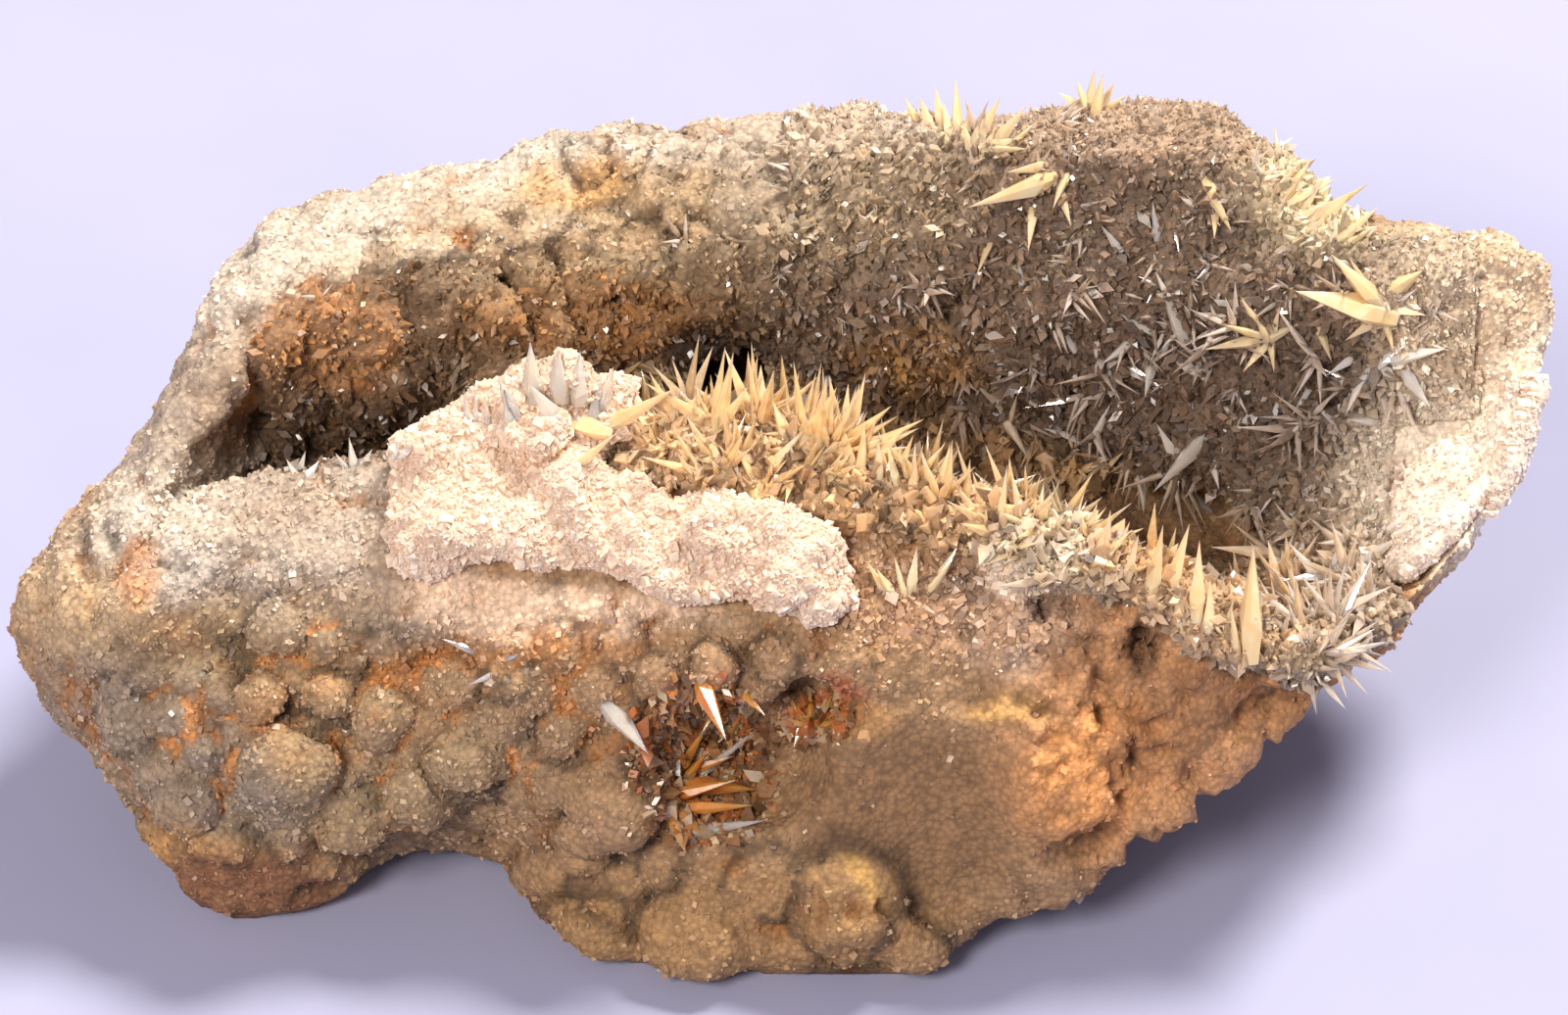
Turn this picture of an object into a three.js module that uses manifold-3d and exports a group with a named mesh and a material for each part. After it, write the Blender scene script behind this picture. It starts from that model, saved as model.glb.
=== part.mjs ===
// A calcite hand specimen, about 13 cm long: a lump of brown host rock with an open, crystal-lined hollow along
// its top, a shelf of broken white calcite on the hollow's front lip, a vein of white calcite closing its right
// end, and a sheaf of rust-stained crystals in a pocket of its front face.
// Millimetres. X runs left to right, Y away from the viewer and Z up; the specimen rests on Z = 0.

import * as THREE from "three";
import { mergeVertices } from "three/addons/utils/BufferGeometryUtils.js";
import Module from "manifold-3d";

const wasm = await Module();
wasm.setup();

// The specimen is described as it is sighted from its display side. A sight is a distance across and a distance
// up the view plane, which passes through AIM and stands square to the line of view.
const VIEW_ELEVATION = THREE.MathUtils.degToRad(42);
const VIEW_DISTANCE = 700;
const AIM = new THREE.Vector3(0, 0, 22);
const VIEW_UP = new THREE.Vector3(0, Math.sin(VIEW_ELEVATION), Math.cos(VIEW_ELEVATION));
const VIEW_BACK = new THREE.Vector3(0, -Math.cos(VIEW_ELEVATION), Math.sin(VIEW_ELEVATION));
const EYE = AIM.clone().addScaledVector(VIEW_BACK, VIEW_DISTANCE);

// How finely the rock's skin and its linings are divided
const ROCK_SECTIONS = 36;
const ROCK_ROUGHNESS = 0.95;
const SEAT_GAP = 0.55;
const LEAST_GAP = 0.2;
const LEAST_CRUST = 0.35;
const SLIVER = 0.02;
const CORNER_GRID = 2e-3;
const ROCK_DETAIL = 0.45;
const CRYSTAL_DETAIL = 0.2;

const SPECIMEN_LEFT = -64.6;
const SPECIMEN_RIGHT = 64.4;

// The rails are the ridges and furrows that run along the rock from its left tip to its right tip. A sighted
// rail lists [across, up, height above the table]; a hidden rail lists [x, y, z].
const SIGHTED_RAILS = {
  crest: [
    [-64.7, -8.5, 23], [-61.7, -5, 27], [-56.7, 0.4, 31], [-51.8, 8.6, 35], [-48.8, 17.3, 39], [-43.3, 24.8, 42],
    [-39.2, 26.5, 43], [-30.8, 28.5, 44], [-20, 30.5, 44.5], [-13.3, 32.5, 45], [-3.3, 31.8, 45], [7.5, 34, 46],
    [16.7, 31.2, 46.2], [23.8, 33, 46.4], [31.7, 33.4, 46.4], [37.5, 33.2, 46.4], [42.7, 29.6, 45.4],
    [45, 25.6, 44.4], [50, 21.6, 43.4], [56, 21.2, 43.4], [60.8, 22, 43.7], [65, 20, 42],
  ],
  edge: [
    [-64.7, -9.5, 22], [-60.8, -6.8, 27], [-55.8, -3.1, 31], [-50.8, 5.7, 36], [-45.8, 11.5, 39], [-40, 16.8, 40],
    [-30.8, 19, 41], [-23.3, 19.5, 41], [-16.7, 20.2, 41], [-8.3, 20.8, 42], [-1.7, 21.5, 42], [5, 26.5, 44],
    [12.5, 28.5, 45], [20.8, 27.3, 44.5], [31.7, 29.5, 45.5], [40.8, 27, 44.5], [45.8, 21.5, 42], [51.7, 17.4, 40.2],
    [58.3, 16.8, 40], [63.3, 17.3, 40], [65, 19, 41],
  ],
  wall: [
    [-64.7, -10.2, 21], [-60.8, -7.7, 26], [-55.8, -4.3, 30], [-50, 4.4, 32], [-43.3, 8.2, 31], [-33.3, 9, 30],
    [-23.3, 9.8, 29], [-13.3, 11.5, 28], [-5, 13.2, 28], [5, 15.7, 33], [16.7, 16.5, 34], [28.3, 16.5, 34],
    [38.3, 13.2, 33], [46.7, 9.8, 32], [54.2, 8.2, 32], [60.8, 9.8, 34], [64.6, 18.2, 40],
  ],
  wallFoot: [
    [-64.7, -10.6, 20.5], [-60.8, -8.5, 25], [-55.8, -5.2, 29], [-50, 3.2, 29.5], [-43.3, 4, 22], [-33.3, 4.8, 20],
    [-21.7, 6.1, 18.5], [-10, 7.3, 18], [1.7, 7.3, 18], [13.3, 6.5, 18.5], [25, 2.3, 17], [35, -1.8, 16.5],
    [41.7, -3.5, 18], [48.3, -3.5, 22], [55, -0.2, 26], [60.8, 5.7, 31], [64.6, 17.3, 39],
  ],
  lip: [
    [-64.7, -11, 20], [-60.8, -9.8, 24.7], [-55.8, -6.5, 29.5], [-50, 2.2, 33], [-41.7, 2.8, 34], [-33.3, 4.4, 35],
    [-26.7, 6.5, 36.5], [-20, 6.5, 37], [-11.7, 5.7, 37], [-3.3, 4, 36.5], [5, 2.3, 36], [13.3, -0.2, 35.5],
    [21.7, -2.3, 34.5], [28.3, -4.8, 33], [35, -8.9, 30.5], [40.8, -13.5, 27.5], [45.8, -12.5, 26], [51.7, -9.3, 26.5],
    [57.5, -4.3, 28], [60.8, 1.5, 31], [63.4, 12, 36], [64.2, 16.3, 38],
  ],
  shoulder: [
    [-64.7, -11.4, 19], [-60.8, -11, 24], [-55.8, -8.5, 29], [-50, -4.3, 32], [-41.7, -5.2, 31.5], [-33.3, -4.3, 33],
    [-25, -3.5, 34], [-15, -3.5, 34], [-3.3, -5.2, 33.5], [6.7, -8.5, 32], [15, -9.3, 30.5], [23.3, -10.2, 29],
    [30, -12.7, 26.5], [35.8, -15.2, 24.5], [41.7, -15.6, 24], [46.7, -14.3, 23.5], [52.1, -10.2, 24.5],
    [57.5, -4.8, 26.5], [60.9, 1.5, 29.5], [63.4, 11.6, 34.6], [64.2, 16.1, 37],
  ],
  belly: [
    [-64.7, -11.8, 18], [-60.8, -15.2, 18], [-55.8, -16.8, 20], [-50, -16.8, 22], [-41.7, -17.7, 21.5],
    [-33.3, -16.8, 22], [-25, -16.8, 23], [-15, -16.8, 24], [-5, -18.5, 23], [6.7, -21, 21], [15, -22.7, 18.6],
    [20.5, -22.8, 20.6], [29.2, -21.8, 17.6], [35.8, -19.3, 20], [41.7, -17, 21.5], [47.1, -14.6, 22],
    [52.5, -10.2, 23.5], [57.6, -4.9, 25.5], [61, 1.5, 28.5], [63.4, 11.2, 33.4], [64.2, 15.7, 36],
  ],
  toe: [
    [-64.7, -12.2, 17], [-60.8, -18.9, 13], [-55.8, -24.3, 12], [-50, -27.7, 10], [-41.7, -27.7, 11],
    [-33.3, -26, 12], [-25, -26.8, 8], [-20, -28.5, 9], [-13.3, -31.8, 7], [-3.3, -34.3, 7], [6.7, -34.3, 7],
    [15, -31.8, 8.2], [22.8, -31.2, 10.8], [29.2, -27.7, 11], [35.8, -23.1, 16], [42.5, -17.8, 20.5], [47.5, -14.8, 21.5],
    [52.9, -10.3, 23], [57.8, -4.9, 25], [61, 1.5, 28], [63.4, 10.8, 32.8], [64.2, 15.3, 35.5],
  ],
  foot: [
    [-64.7, -12.5, 16.5], [-60.8, -19.8, 11], [-55.8, -26.6, 7], [-50.8, -33.6, 0], [-44.8, -36.4, -1],
    [-38.3, -34.6, -1], [-33.3, -29.2, 0.4], [-25, -29, 0.4], [-21.7, -33.5, 0], [-16.7, -38.9, -1], [-5, -40, -1.5],
    [5, -40.4, -1.5], [13.3, -40.2, -1], [15.6, -34.8, 4], [23.3, -33.9, 6], [29.2, -28.9, 10], [35.8, -23.7, 14.5],
    [42.5, -18.3, 19.5], [47.5, -15, 21], [52.9, -10.4, 22.5], [57.8, -4.9, 24.5], [61, 1.5, 27.5],
    [63.4, 10.6, 32.4], [64.2, 15, 35],
  ],
};
const HIDDEN_RAILS = {
  floor: [
    [-64.6, -14.1, 20.3], [-60.8, -16.6, 24.7], [-56, -16.3, 28.4], [-50, -5, 28.5], [-43, -1, 21], [-33, 1, 17.5], [-22, 3, 15], [2, 4, 14],
    [13, 3, 14], [25, -1, 14], [35, -6, 14.5], [42, -10, 17], [48, -12, 22], [55, -9, 26.5], [61, -4, 30.5],
    [64.6, 7, 38.7],
  ],
  inner: [
    [-64.6, -14.2, 20.2], [-60.8, -17.1, 24.6], [-56, -17.2, 28.8], [-50, -8, 30], [-43, -6.5, 27], [-33, -5, 26], [-22, -4, 26],
    [-10, -4.5, 26], [2, -6, 26], [13, -8.5, 25], [25, -12, 23], [35, -16.5, 21], [42, -18.5, 22], [48, -16.5, 24.5],
    [55, -11, 27.5], [61, -5.5, 31], [64.6, 6.9, 38.3],
  ],
  keel: [
    [-64.6, -13, 17], [-60, -12, 12], [-55, -12, 7], [-48, -10, 3], [-38, -8, 1.5], [12, -8, 1.5], [22, -8, 4],
    [32, -6, 9], [42, -4, 14], [52, -1, 18.5], [60, 2, 24], [64.6, 8.4, 34.6],
  ],
  backFoot: [
    [-64.6, -12, 18], [-60, -6, 14], [-54, 0, 10], [-46, 8, 5], [-36, 14, 0], [-25, 18, -1.5], [-10, 20, -1.5],
    [5, 19, -1.5], [15, 18, 0], [26, 16, 5], [36, 14, 11], [46, 12, 17], [55, 10, 23], [62, 9, 29], [64.8, 9, 36.5],
  ],
  backBelly: [
    [-64.6, -11, 20], [-60, -4.5, 20], [-54, 5, 21], [-46, 17, 22], [-36, 24, 21], [-20, 29, 20], [0, 32, 21],
    [15, 32, 23], [28, 30, 25], [38, 27, 28], [46, 21, 31], [55, 16, 33], [62, 13, 36], [64.8, 9, 40],
  ],
  backShoulder: [
    [-64.6, -12, 22], [-60, -7, 26], [-54, 3, 30], [-46, 15.5, 34], [-36, 22, 35], [-20, 27, 36], [0, 30.5, 37],
    [15, 30, 38.5], [28, 29.5, 39.5], [38, 27, 39.5], [46, 20, 39], [55, 15.5, 39.5], [62, 13, 40],
    [64.8, 9.5, 41.5],
  ],
};
// The rails in the order in which a section meets them, from the back crest over the hollow and round the rock
const RAIL_ORDER = [
  "crest", "edge", "wall", "wallFoot", "floor", "inner", "lip", "shoulder", "belly", "toe", "foot", "keel",
  "backFoot", "backBelly", "backShoulder",
];
// How many facets the skin has from each rail to the next
const STEPS_AFTER_RAIL = [2, 3, 2, 1, 1, 2, 3, 3, 3, 3, 2, 1, 1, 2, 2];

// Grape-like lumps and knobs: [across, up, radius]
const FRONT_LUMPS = [
  [-42.4, -21.5, 4.6], [-44.4, -15.8, 2.8], [-43.3, -10.2, 3], [-38.4, -16.2, 2.8], [-34.3, -17.2, 3],
  [-26.5, -20.7, 3.8], [-31.8, -24, 3.5], [-37.2, -26.6, 3.2], [-50.5, -24.2, 3], [-47.6, -28, 2.8],
  [-49, -18.4, 2.8], [-14.7, -24.7, 4.6], [-16.6, -30.4, 3.2], [-6.9, -36.2, 5], [5.6, -33, 5.2],
  [-14.8, -35.6, 3.4], [11, -36.2, 3.2], [-6, -13.6, 2.8],
];
const CREST_LUMPS = [
  [-15, 29, 3.2], [-9, 25.5, 2.8], [-3.5, 24.5, 3.4], [-20, 25, 2.6],
];
const HOLLOW_LUMPS = [
  [-26, 15, 2.8], [-36, 12, 3], [7, 18.5, 3.4], [13, 13, 3],
];

// Hollows: at, the centre as [across, up, height], and half, the half sizes in x, y and z
const PITS = {
  frontPocket: { at: [-4.8, -22.2, 19], half: [8.6, 6.5, 6.6] },
  frontPocketRight: { at: [2.6, -17.4, 24], half: [4.4, 5, 3.2] },
  backCave: { at: [-7, 14.5, 27], half: [8, 7.5, 6.5] },
  rightCave: { at: [33, -2, 17.5], half: [10, 8, 3.6] },
  crestNotch: { at: [2.3, 28.5, 42.5], half: [2.6, 3.4, 2.6] },
  ridgeGully: { at: [10.5, -4.6, 35], half: [4.4, 3, 2.6] },
  faceRecess: { at: [30.6, -11.6, 27.5], half: [2.6, 2.6, 2] },
  leftVug: { at: [-57, -6.4, 28.6], half: [2.2, 1.8, 1.8] },
};
const PIT_CLEARANCE = 1.2;
const HOLLOW_PITS = ["backCave", "rightCave", "crestNotch", "ridgeGully"];

// The crust of the hollow; on the right it runs over the crest, and it thickens into a mound on the front ridge
const CRUST_LEFT = -45.5;
const CRUST_RIGHT = 56;
const CREST_CRUST_LEFT = 1;
const SHELF_OVERHANG = -14;
const END_CLEARANCE = 46;
const CRUST_THICKNESS = 1;
const MOUND_HEIGHT = 3.4;
const MOUND_MIDDLE = -3;
const MOUND_REACH = 10;

// The long pointed crystals, each rooted where its sight meets the crust and sunk by ROOT_DEPTH:
// [root across, root up, tip across, tip up, lean to the viewer, radius]
const ROOT_DEPTH = 0.7;
const GREAT_SPIKES = [
  [39.7, -12, 39.9, -3.1, 1, 0.95], [35.1, -8.7, 35.3, -2.7, 1, 0.75], [33.3, -6.7, 34.5, -1.4, 1, 0.8],
  [31.2, -6.7, 32.2, -1.5, 1, 1], [40.3, -11.1, 40.6, -7, 1.5, 0.7], [41.5, -6.3, 43.4, -2, 0, 0.7],
  [46.7, -5.2, 42.8, -2.9, 2, 0.6], [46.7, -5.4, 51.4, -3.2, 2, 0.7], [46.5, -5.6, 42.6, -6.1, 2, 0.6],
  [46.8, -5.6, 51.4, -7.3, 2, 0.6], [35.3, 5.6, 31.3, 1.3, 2.5, 1.2], [22.1, 27.8, 15.6, 25.5, 3, 1],
  [36, 27.8, 38.1, 23.6, 3, 0.8], [33.8, 14.8, 31.6, 20.1, 3, 1], [41.3, 14.8, 38.9, 18, 3, 0.8],
  [40, 14.4, 35.4, 12.7, 3, 0.8], [49.8, 16.1, 43.6, 18.2, 4, 1.2], [49.8, 17.7, 46.6, 21.4, 4, 0.9],
  [50.5, 17.1, 46.8, 20.4, 4, 0.7], [49.6, 11.6, 47.7, 7.8, 4, 0.8], [16.3, 30.8, 18.4, 34.8, 1, 0.8],
  [14.5, 31, 14.6, 36.2, 0, 0.8], [12.7, 31.4, 12.8, 35.9, 0, 0.7], [17.3, 30.6, 20.5, 34.2, 1, 0.7],
  [26.2, 33, 26.4, 37.4, 0, 0.7], [42, 26.5, 44.8, 29.5, 0, 0.9], [43, 25.5, 47, 27.9, 0, 1],
  [46.6, 23, 49.7, 27.5, 0, 1.1], [19.3, -2.5, 19.5, 3.1, 1, 0.6], [21, -3, 22.6, 2.6, 1, 0.7],
  [27.5, -5, 28.8, -0.9, 1, 0.7], [-3.3, 7.2, -2.3, 12.9, 1, 1], [-5.2, 7.2, -7.8, 10.4, 1, 0.9],
  [1.8, 5.4, 4.5, 10.3, 1, 1.3], [-14.3, 6.6, -9.3, 10.4, 2, 0.9], [-2.1, 5, -4.3, 8.6, 3, 0.8],
  [5.9, 3.6, 4.4, 8.5, 0, 0.9], [6.5, 3.1, 6.9, 7.4, 0, 0.8], [9, 1.6, 9.2, 6.8, 0, 0.7],
  [12.5, 1, 13.2, 6.4, 0, 0.8], [16.5, -0.6, 17.4, 3.9, 1, 0.6], [24, -2.4, 26.9, 2, 1, 0.7],
  [22.8, -1.6, 24.9, 6.6, 0, 0.8], [25.3, -2.8, 26.2, 3.6, 0, 0.7],
];

// The stained sheaf of the front pocket: its root, the size of its bed and the tips as [across, up, lean, radius]
const POCKET_ROOT = [-7, -24.4];
const POCKET_BED = [2.4, 1.8, 3.6];
const POCKET_TIPS = [
  [-6, -18, 2.4, 0.55], [-4.6, -19.2, 3, 0.6], [-3.4, -17, 2.4, 0.6], [-1.9, -19, 3, 0.75], [-2, -23.6, 4, 0.65],
  [-1.4, -26.6, 4.5, 0.75], [-4.6, -28.2, 4.4, 0.6], [-9.1, -17, 2.4, 0.55], [-11.2, -18.6, 3, 0.6],
  [-11.6, -22.2, 3.4, 0.5], [-9.6, -29, 4, 0.5], [-7.8, -17.4, 2.4, 0.5],
];

// The white calcite of the front lip: its upper and lower edges as places between rails at each x, in rail steps
// after the lip, and its blocky crystals as [across, up, height, half size]
const SHELF_LEFT = -34;
const SHELF_RIGHT = 7.4;
const SHELF_EDGES = [
  [-34, 0.15, 1.3], [-30, -0.15, 1.38], [-26, -0.3, 1.28], [-20, -0.25, 1.34], [-16, 0, 1.36], [-13, 0.45, 1.38],
  [-8, 0.48, 1.42], [-2, 0.48, 1.4], [3, 0.5, 1.26], [7.4, 0.55, 0.95],
];
const SHELF_THICKNESS = 2.3;
const SHELF_BLOCKS = [
  [-22.6, 8.6, 40.4, 1.9], [-20.4, 9.6, 41, 2.1], [-18, 9.4, 40.6, 2], [-16.2, 8.6, 39.8, 1.9],
  [-24.6, 6.2, 38.6, 1.7], [-21, 6.6, 39.2, 2.2], [-18.2, 6.4, 38.8, 2.1], [-15.4, 6, 38.2, 1.8],
  [-30.6, 3.6, 37, 1.6], [-27.4, 5.2, 37.8, 1.8], [-29.4, -2.4, 35.4, 1.7], [-12.6, 1.6, 36.4, 1.6],
  [-6, -2.4, 35.6, 1.7], [0.4, -4.6, 34.2, 1.6],
];

// The massive white calcite of the right end
const END_LEFT = 50.5;
const END_RIGHT = 63;
const END_THICKNESS = 1.7;

const COLOURS = {
  host_rock: { color: 0x9a7a55, roughness: 0.92 },
  vug_crystal_crust: { color: 0xc9b48a, roughness: 0.35 },
  white_calcite_shelf: { color: 0xeadccb, roughness: 0.45 },
  white_calcite_end: { color: 0xefe3d3, roughness: 0.5 },
  pocket_crystal_cluster: { color: 0xd9883a, roughness: 0.3 },
};

/** A smooth repeatable ripple between about -1 and 1, with bumps about `size` millimetres across. */
function ripple(x, y, z, size) {
  const k = (2 * Math.PI) / (2.2 * size);
  const warp = Math.sin(k * 0.63 * (x - z) + 1.3) + Math.sin(k * 0.57 * (y + x) + 4.1);
  return (
    (Math.sin(k * x + 1.1 * warp) + Math.sin(k * 1.13 * y - 0.9 * warp + 2) + Math.sin(k * 0.91 * z + warp + 5)) / 3
  );
}

/** Moves a point by ripples of three sizes, up to about `amount` in each direction. */
function roughen(point, amount) {
  const { x, y, z } = point;
  const at = (dx) => ripple(x + dx, y - dx, z + 2 * dx, 9) * 0.6 + ripple(x - dx, y, z + dx, 3.7) * 0.5;
  return point.add(new THREE.Vector3(at(0), at(31), at(67)).multiplyScalar(amount));
}

/** The direction from the eye through a sight. */
function sightLine(across, up) {
  return new THREE.Vector3(across, 0, 0).addScaledVector(VIEW_UP, up).add(AIM).sub(EYE).normalize();
}

/** The point at a given height above the table that is seen at a sight. */
function seenAtHeight([across, up, height]) {
  const line = sightLine(across, up);
  return EYE.clone().addScaledVector(line, (height - EYE.z) / line.z);
}

const rails = {};
for (const [name, sights] of Object.entries(SIGHTED_RAILS)) rails[name] = sights.map(seenAtHeight);
for (const [name, points] of Object.entries(HIDDEN_RAILS)) rails[name] = points.map((p) => new THREE.Vector3(...p));

/** Where a rail crosses the plane at x, as { y, z }, straight between its points and level past its ends. */
function crossing(rail, x) {
  const next = rail.findIndex((p) => p.x > x);
  if (next === 0) return { y: rail[0].y, z: rail[0].z };
  if (next === -1) return { y: rail.at(-1).y, z: rail.at(-1).z };
  const before = rail[next - 1];
  const after = rail[next];
  const share = (x - before.x) / (after.x - before.x);
  return {
    y: THREE.MathUtils.lerp(before.y, after.y, share),
    z: THREE.MathUtils.lerp(before.z, after.z, share),
  };
}

/** The rock's closed outline at x: a smooth loop through every rail. */
function outlineAt(x) {
  const knots = RAIL_ORDER.map((name) => {
    const { y, z } = crossing(rails[name], x);
    return new THREE.Vector3(x, y, z);
  });
  return new THREE.CatmullRomCurve3(knots, true, "centripetal");
}

/** The place on an outline of the rail with that name, from 0 to 1. */
const place = (name) => RAIL_ORDER.indexOf(name) / RAIL_ORDER.length;

/** A point of the rock's skin before pits and lumps; `lift` moves it outwards along the section's normal. */
function skinPoint(x, share, lift = 0) {
  const outline = outlineAt(x);
  const point = outline.getPoint(share);
  if (lift) {
    const along = outline.getPoint((share + 0.004) % 1).sub(outline.getPoint((share + 0.996) % 1));
    point.add(new THREE.Vector3(0, along.z, -along.y).normalize().multiplyScalar(lift));
  }
  return roughen(point, ROCK_ROUGHNESS);
}

// The stations along the rock and the places round each of its outlines where the skin has its corners
const STATIONS = Array.from({ length: ROCK_SECTIONS }, (_, i) =>
  THREE.MathUtils.lerp(SPECIMEN_LEFT, SPECIMEN_RIGHT, i / (ROCK_SECTIONS - 1)),
);
const PLACES = STEPS_AFTER_RAIL.flatMap((steps, rail) =>
  Array.from({ length: steps }, (_, step) => (rail + step / steps) / RAIL_ORDER.length),
);

/** A solid from a three.js geometry. */
function solidOf(geometry) {
  const bare = new THREE.BufferGeometry().setAttribute("position", geometry.getAttribute("position"));
  if (geometry.index) bare.setIndex(geometry.index);
  const merged = mergeVertices(bare, 1e-4);
  const mesh = new wasm.Mesh({
    numProp: 3,
    vertProperties: new Float32Array(merged.attributes.position.array),
    triVerts: new Uint32Array(merged.index.array),
  });
  return new wasm.Manifold(mesh);
}

/** A three.js geometry from a solid. */
function geometryOf(solid) {
  const mesh = solid.getMesh();
  const positions = new Float32Array(mesh.numVert * 3);
  for (let i = 0; i < mesh.numVert; i++) {
    positions.set(mesh.vertProperties.subarray(i * mesh.numProp, i * mesh.numProp + 3), i * 3);
  }
  return new THREE.BufferGeometry()
    .setAttribute("position", new THREE.BufferAttribute(positions, 3))
    .setIndex(new THREE.BufferAttribute(new Uint32Array(mesh.triVerts), 1));
}

/** A geometry from a grid of points, rows[i][j], each row a closed loop, with a fan closing each end. */
function loftedLoops(rows) {
  const around = rows[0].length;
  const points = rows.flat();
  const triangles = [];
  for (let i = 0; i + 1 < rows.length; i++) {
    for (let j = 0; j < around; j++) {
      const k = (j + 1) % around;
      const [a, b, c, d] = [i * around + j, i * around + k, (i + 1) * around + k, (i + 1) * around + j];
      triangles.push(a, c, b, a, d, c);
    }
  }
  const middle = (row) => row.reduce((sum, p) => sum.add(p), new THREE.Vector3()).divideScalar(around);
  const first = points.push(middle(rows[0])) - 1;
  const last = points.push(middle(rows.at(-1))) - 1;
  const lastRow = (rows.length - 1) * around;
  for (let j = 0; j < around; j++) {
    const k = (j + 1) % around;
    triangles.push(first, j, k, last, lastRow + k, lastRow + j);
  }
  return new THREE.BufferGeometry().setFromPoints(points).setIndex(triangles);
}

/** The solid, turned right side out if its faces point inwards. */
function facingOut(geometry) {
  const solid = solidOf(geometry);
  if (solid.volume() > 0) return solid;
  const index = geometry.index.array;
  for (let i = 0; i < index.length; i += 3) [index[i + 1], index[i + 2]] = [index[i + 2], index[i + 1]];
  return solidOf(geometry);
}

/** The biggest single body of a solid, without details smaller than `detail`, its corners on a fine grid. */
function biggest(solid, detail) {
  const largest = (bodies) => bodies.reduce((a, b) => (a.volume() > b.volume() ? a : b));
  const body = largest(largest(solid.decompose()).simplify(detail).decompose());
  const geometry = geometryOf(body);
  const corners = geometry.getAttribute("position").array;
  for (let i = 0; i < corners.length; i++) corners[i] = Math.round(corners[i] / CORNER_GRID) * CORNER_GRID;
  return largest(solidOf(geometry).decompose());
}

/** The same solid with its skin moved outwards by `gap`. */
function grown(solid, gap) {
  const geometry = geometryOf(solid);
  geometry.computeVertexNormals();
  const { position, normal } = geometry.attributes;
  for (let i = 0; i < position.count; i++) {
    position.setXYZ(
      i,
      position.getX(i) + gap * normal.getX(i),
      position.getY(i) + gap * normal.getY(i),
      position.getZ(i) + gap * normal.getZ(i),
    );
  }
  return solidOf(geometry);
}

/** Where a sight meets a solid: the point and the face's normal there. */
function hitOn(mesh, across, up) {
  const hits = new THREE.Raycaster(EYE, sightLine(across, up)).intersectObject(mesh);
  if (!hits.length) throw new Error(`nothing is seen at ${across}, ${up}`);
  return { point: hits[0].point, normal: hits[0].face.normal };
}

/** A lump of the skin that a sight meets, more than half sunk into it and grown by `extra`. */
function lump(mesh, [across, up, radius], extra = 0) {
  const centre = hitOn(mesh, across, up).point.addScaledVector(sightLine(across, up), radius * 0.4);
  const half = new THREE.Vector3(radius, radius, radius * 0.9).addScalar(extra);
  return rippledBall(half, centre, 0.14, 1);
}

/** The rippled hollow of a pit, grown by `extra` on every side. */
const pit = ({ at, half }, extra = 0) =>
  rippledBall(new THREE.Vector3(...half).addScalar(extra), seenAtHeight(at), 0.14, half[0] > 5 ? 2 : 1);

/** A pointed six-sided crystal from a root to a tip, widest a third of the way up, its root sunk below the skin. */
function spike(root, tip, radius) {
  const along = tip.clone().sub(root);
  const length = along.length();
  const profile = [
    new THREE.Vector2(0, -ROOT_DEPTH),
    new THREE.Vector2(radius, length * 0.28),
    new THREE.Vector2(0, length),
  ];
  const crystal = new THREE.LatheGeometry(profile, 6);
  const turn = new THREE.Quaternion().setFromUnitVectors(new THREE.Vector3(0, 1, 0), along.normalize());
  return solidOf(crystal.applyQuaternion(turn).translate(root.x, root.y, root.z));
}

/** The point that is seen `across` and `up` from another one, `lean` nearer to the viewer. */
function seenBeside(point, across, up, lean) {
  return point
    .clone()
    .addScaledVector(VIEW_UP, up)
    .addScaledVector(VIEW_BACK, lean)
    .add(new THREE.Vector3(across, 0, 0));
}

/** A spike rooted where its sight meets the mesh. */
function seatedSpike(mesh, [across, up, tipAcross, tipUp, lean, radius]) {
  const root = hitOn(mesh, across, up).point;
  return spike(root, seenBeside(root, tipAcross - across, tipUp - up, lean), radius);
}

/** A blocky crystal: a rhombohedron, each one turned its own way. */
function rhomb([across, up, height, half]) {
  const lean = new THREE.Matrix4().makeShear(0.18, 0.12, 0.2, 0.1, 0.16, 0.14);
  const turn = new THREE.Matrix4().makeRotationFromEuler(new THREE.Euler(across * 1.7, up * 2.3, across + up));
  const { x, y, z } = seenAtHeight([across, up, height]);
  const block = new THREE.BoxGeometry(2 * half, 2 * half, 2.3 * half);
  return facingOut(block.applyMatrix4(lean).applyMatrix4(turn).translate(x, y, z));
}

/** A faceted ball with rippled skin: half sizes, centre, how strong its ripple is and how fine its facets are. */
function rippledBall(half, centre, swell, fineness) {
  const bare = new THREE.IcosahedronGeometry(1, fineness).deleteAttribute("normal").deleteAttribute("uv");
  const ball = mergeVertices(bare);
  const position = ball.getAttribute("position");
  for (let i = 0; i < position.count; i++) {
    const p = new THREE.Vector3().fromBufferAttribute(position, i);
    p.multiplyScalar(1 + swell * ripple(p.x * 5 + centre.x, p.y * 5, p.z * 5 + centre.z, 3));
    p.multiply(half).add(centre);
    position.setXYZ(i, p.x, p.y, p.z);
  }
  return solidOf(ball);
}

/** The rock's skin before its lumps and pits. */
const plainSkin = () => facingOut(loftedLoops(STATIONS.map((x) => PLACES.map((share) => skinPoint(x, share)))));

/** A mesh that sight lines can be cast on. */
const sightable = (solid) => new THREE.Mesh(geometryOf(solid), new THREE.MeshBasicMaterial({ side: THREE.DoubleSide }));

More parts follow.
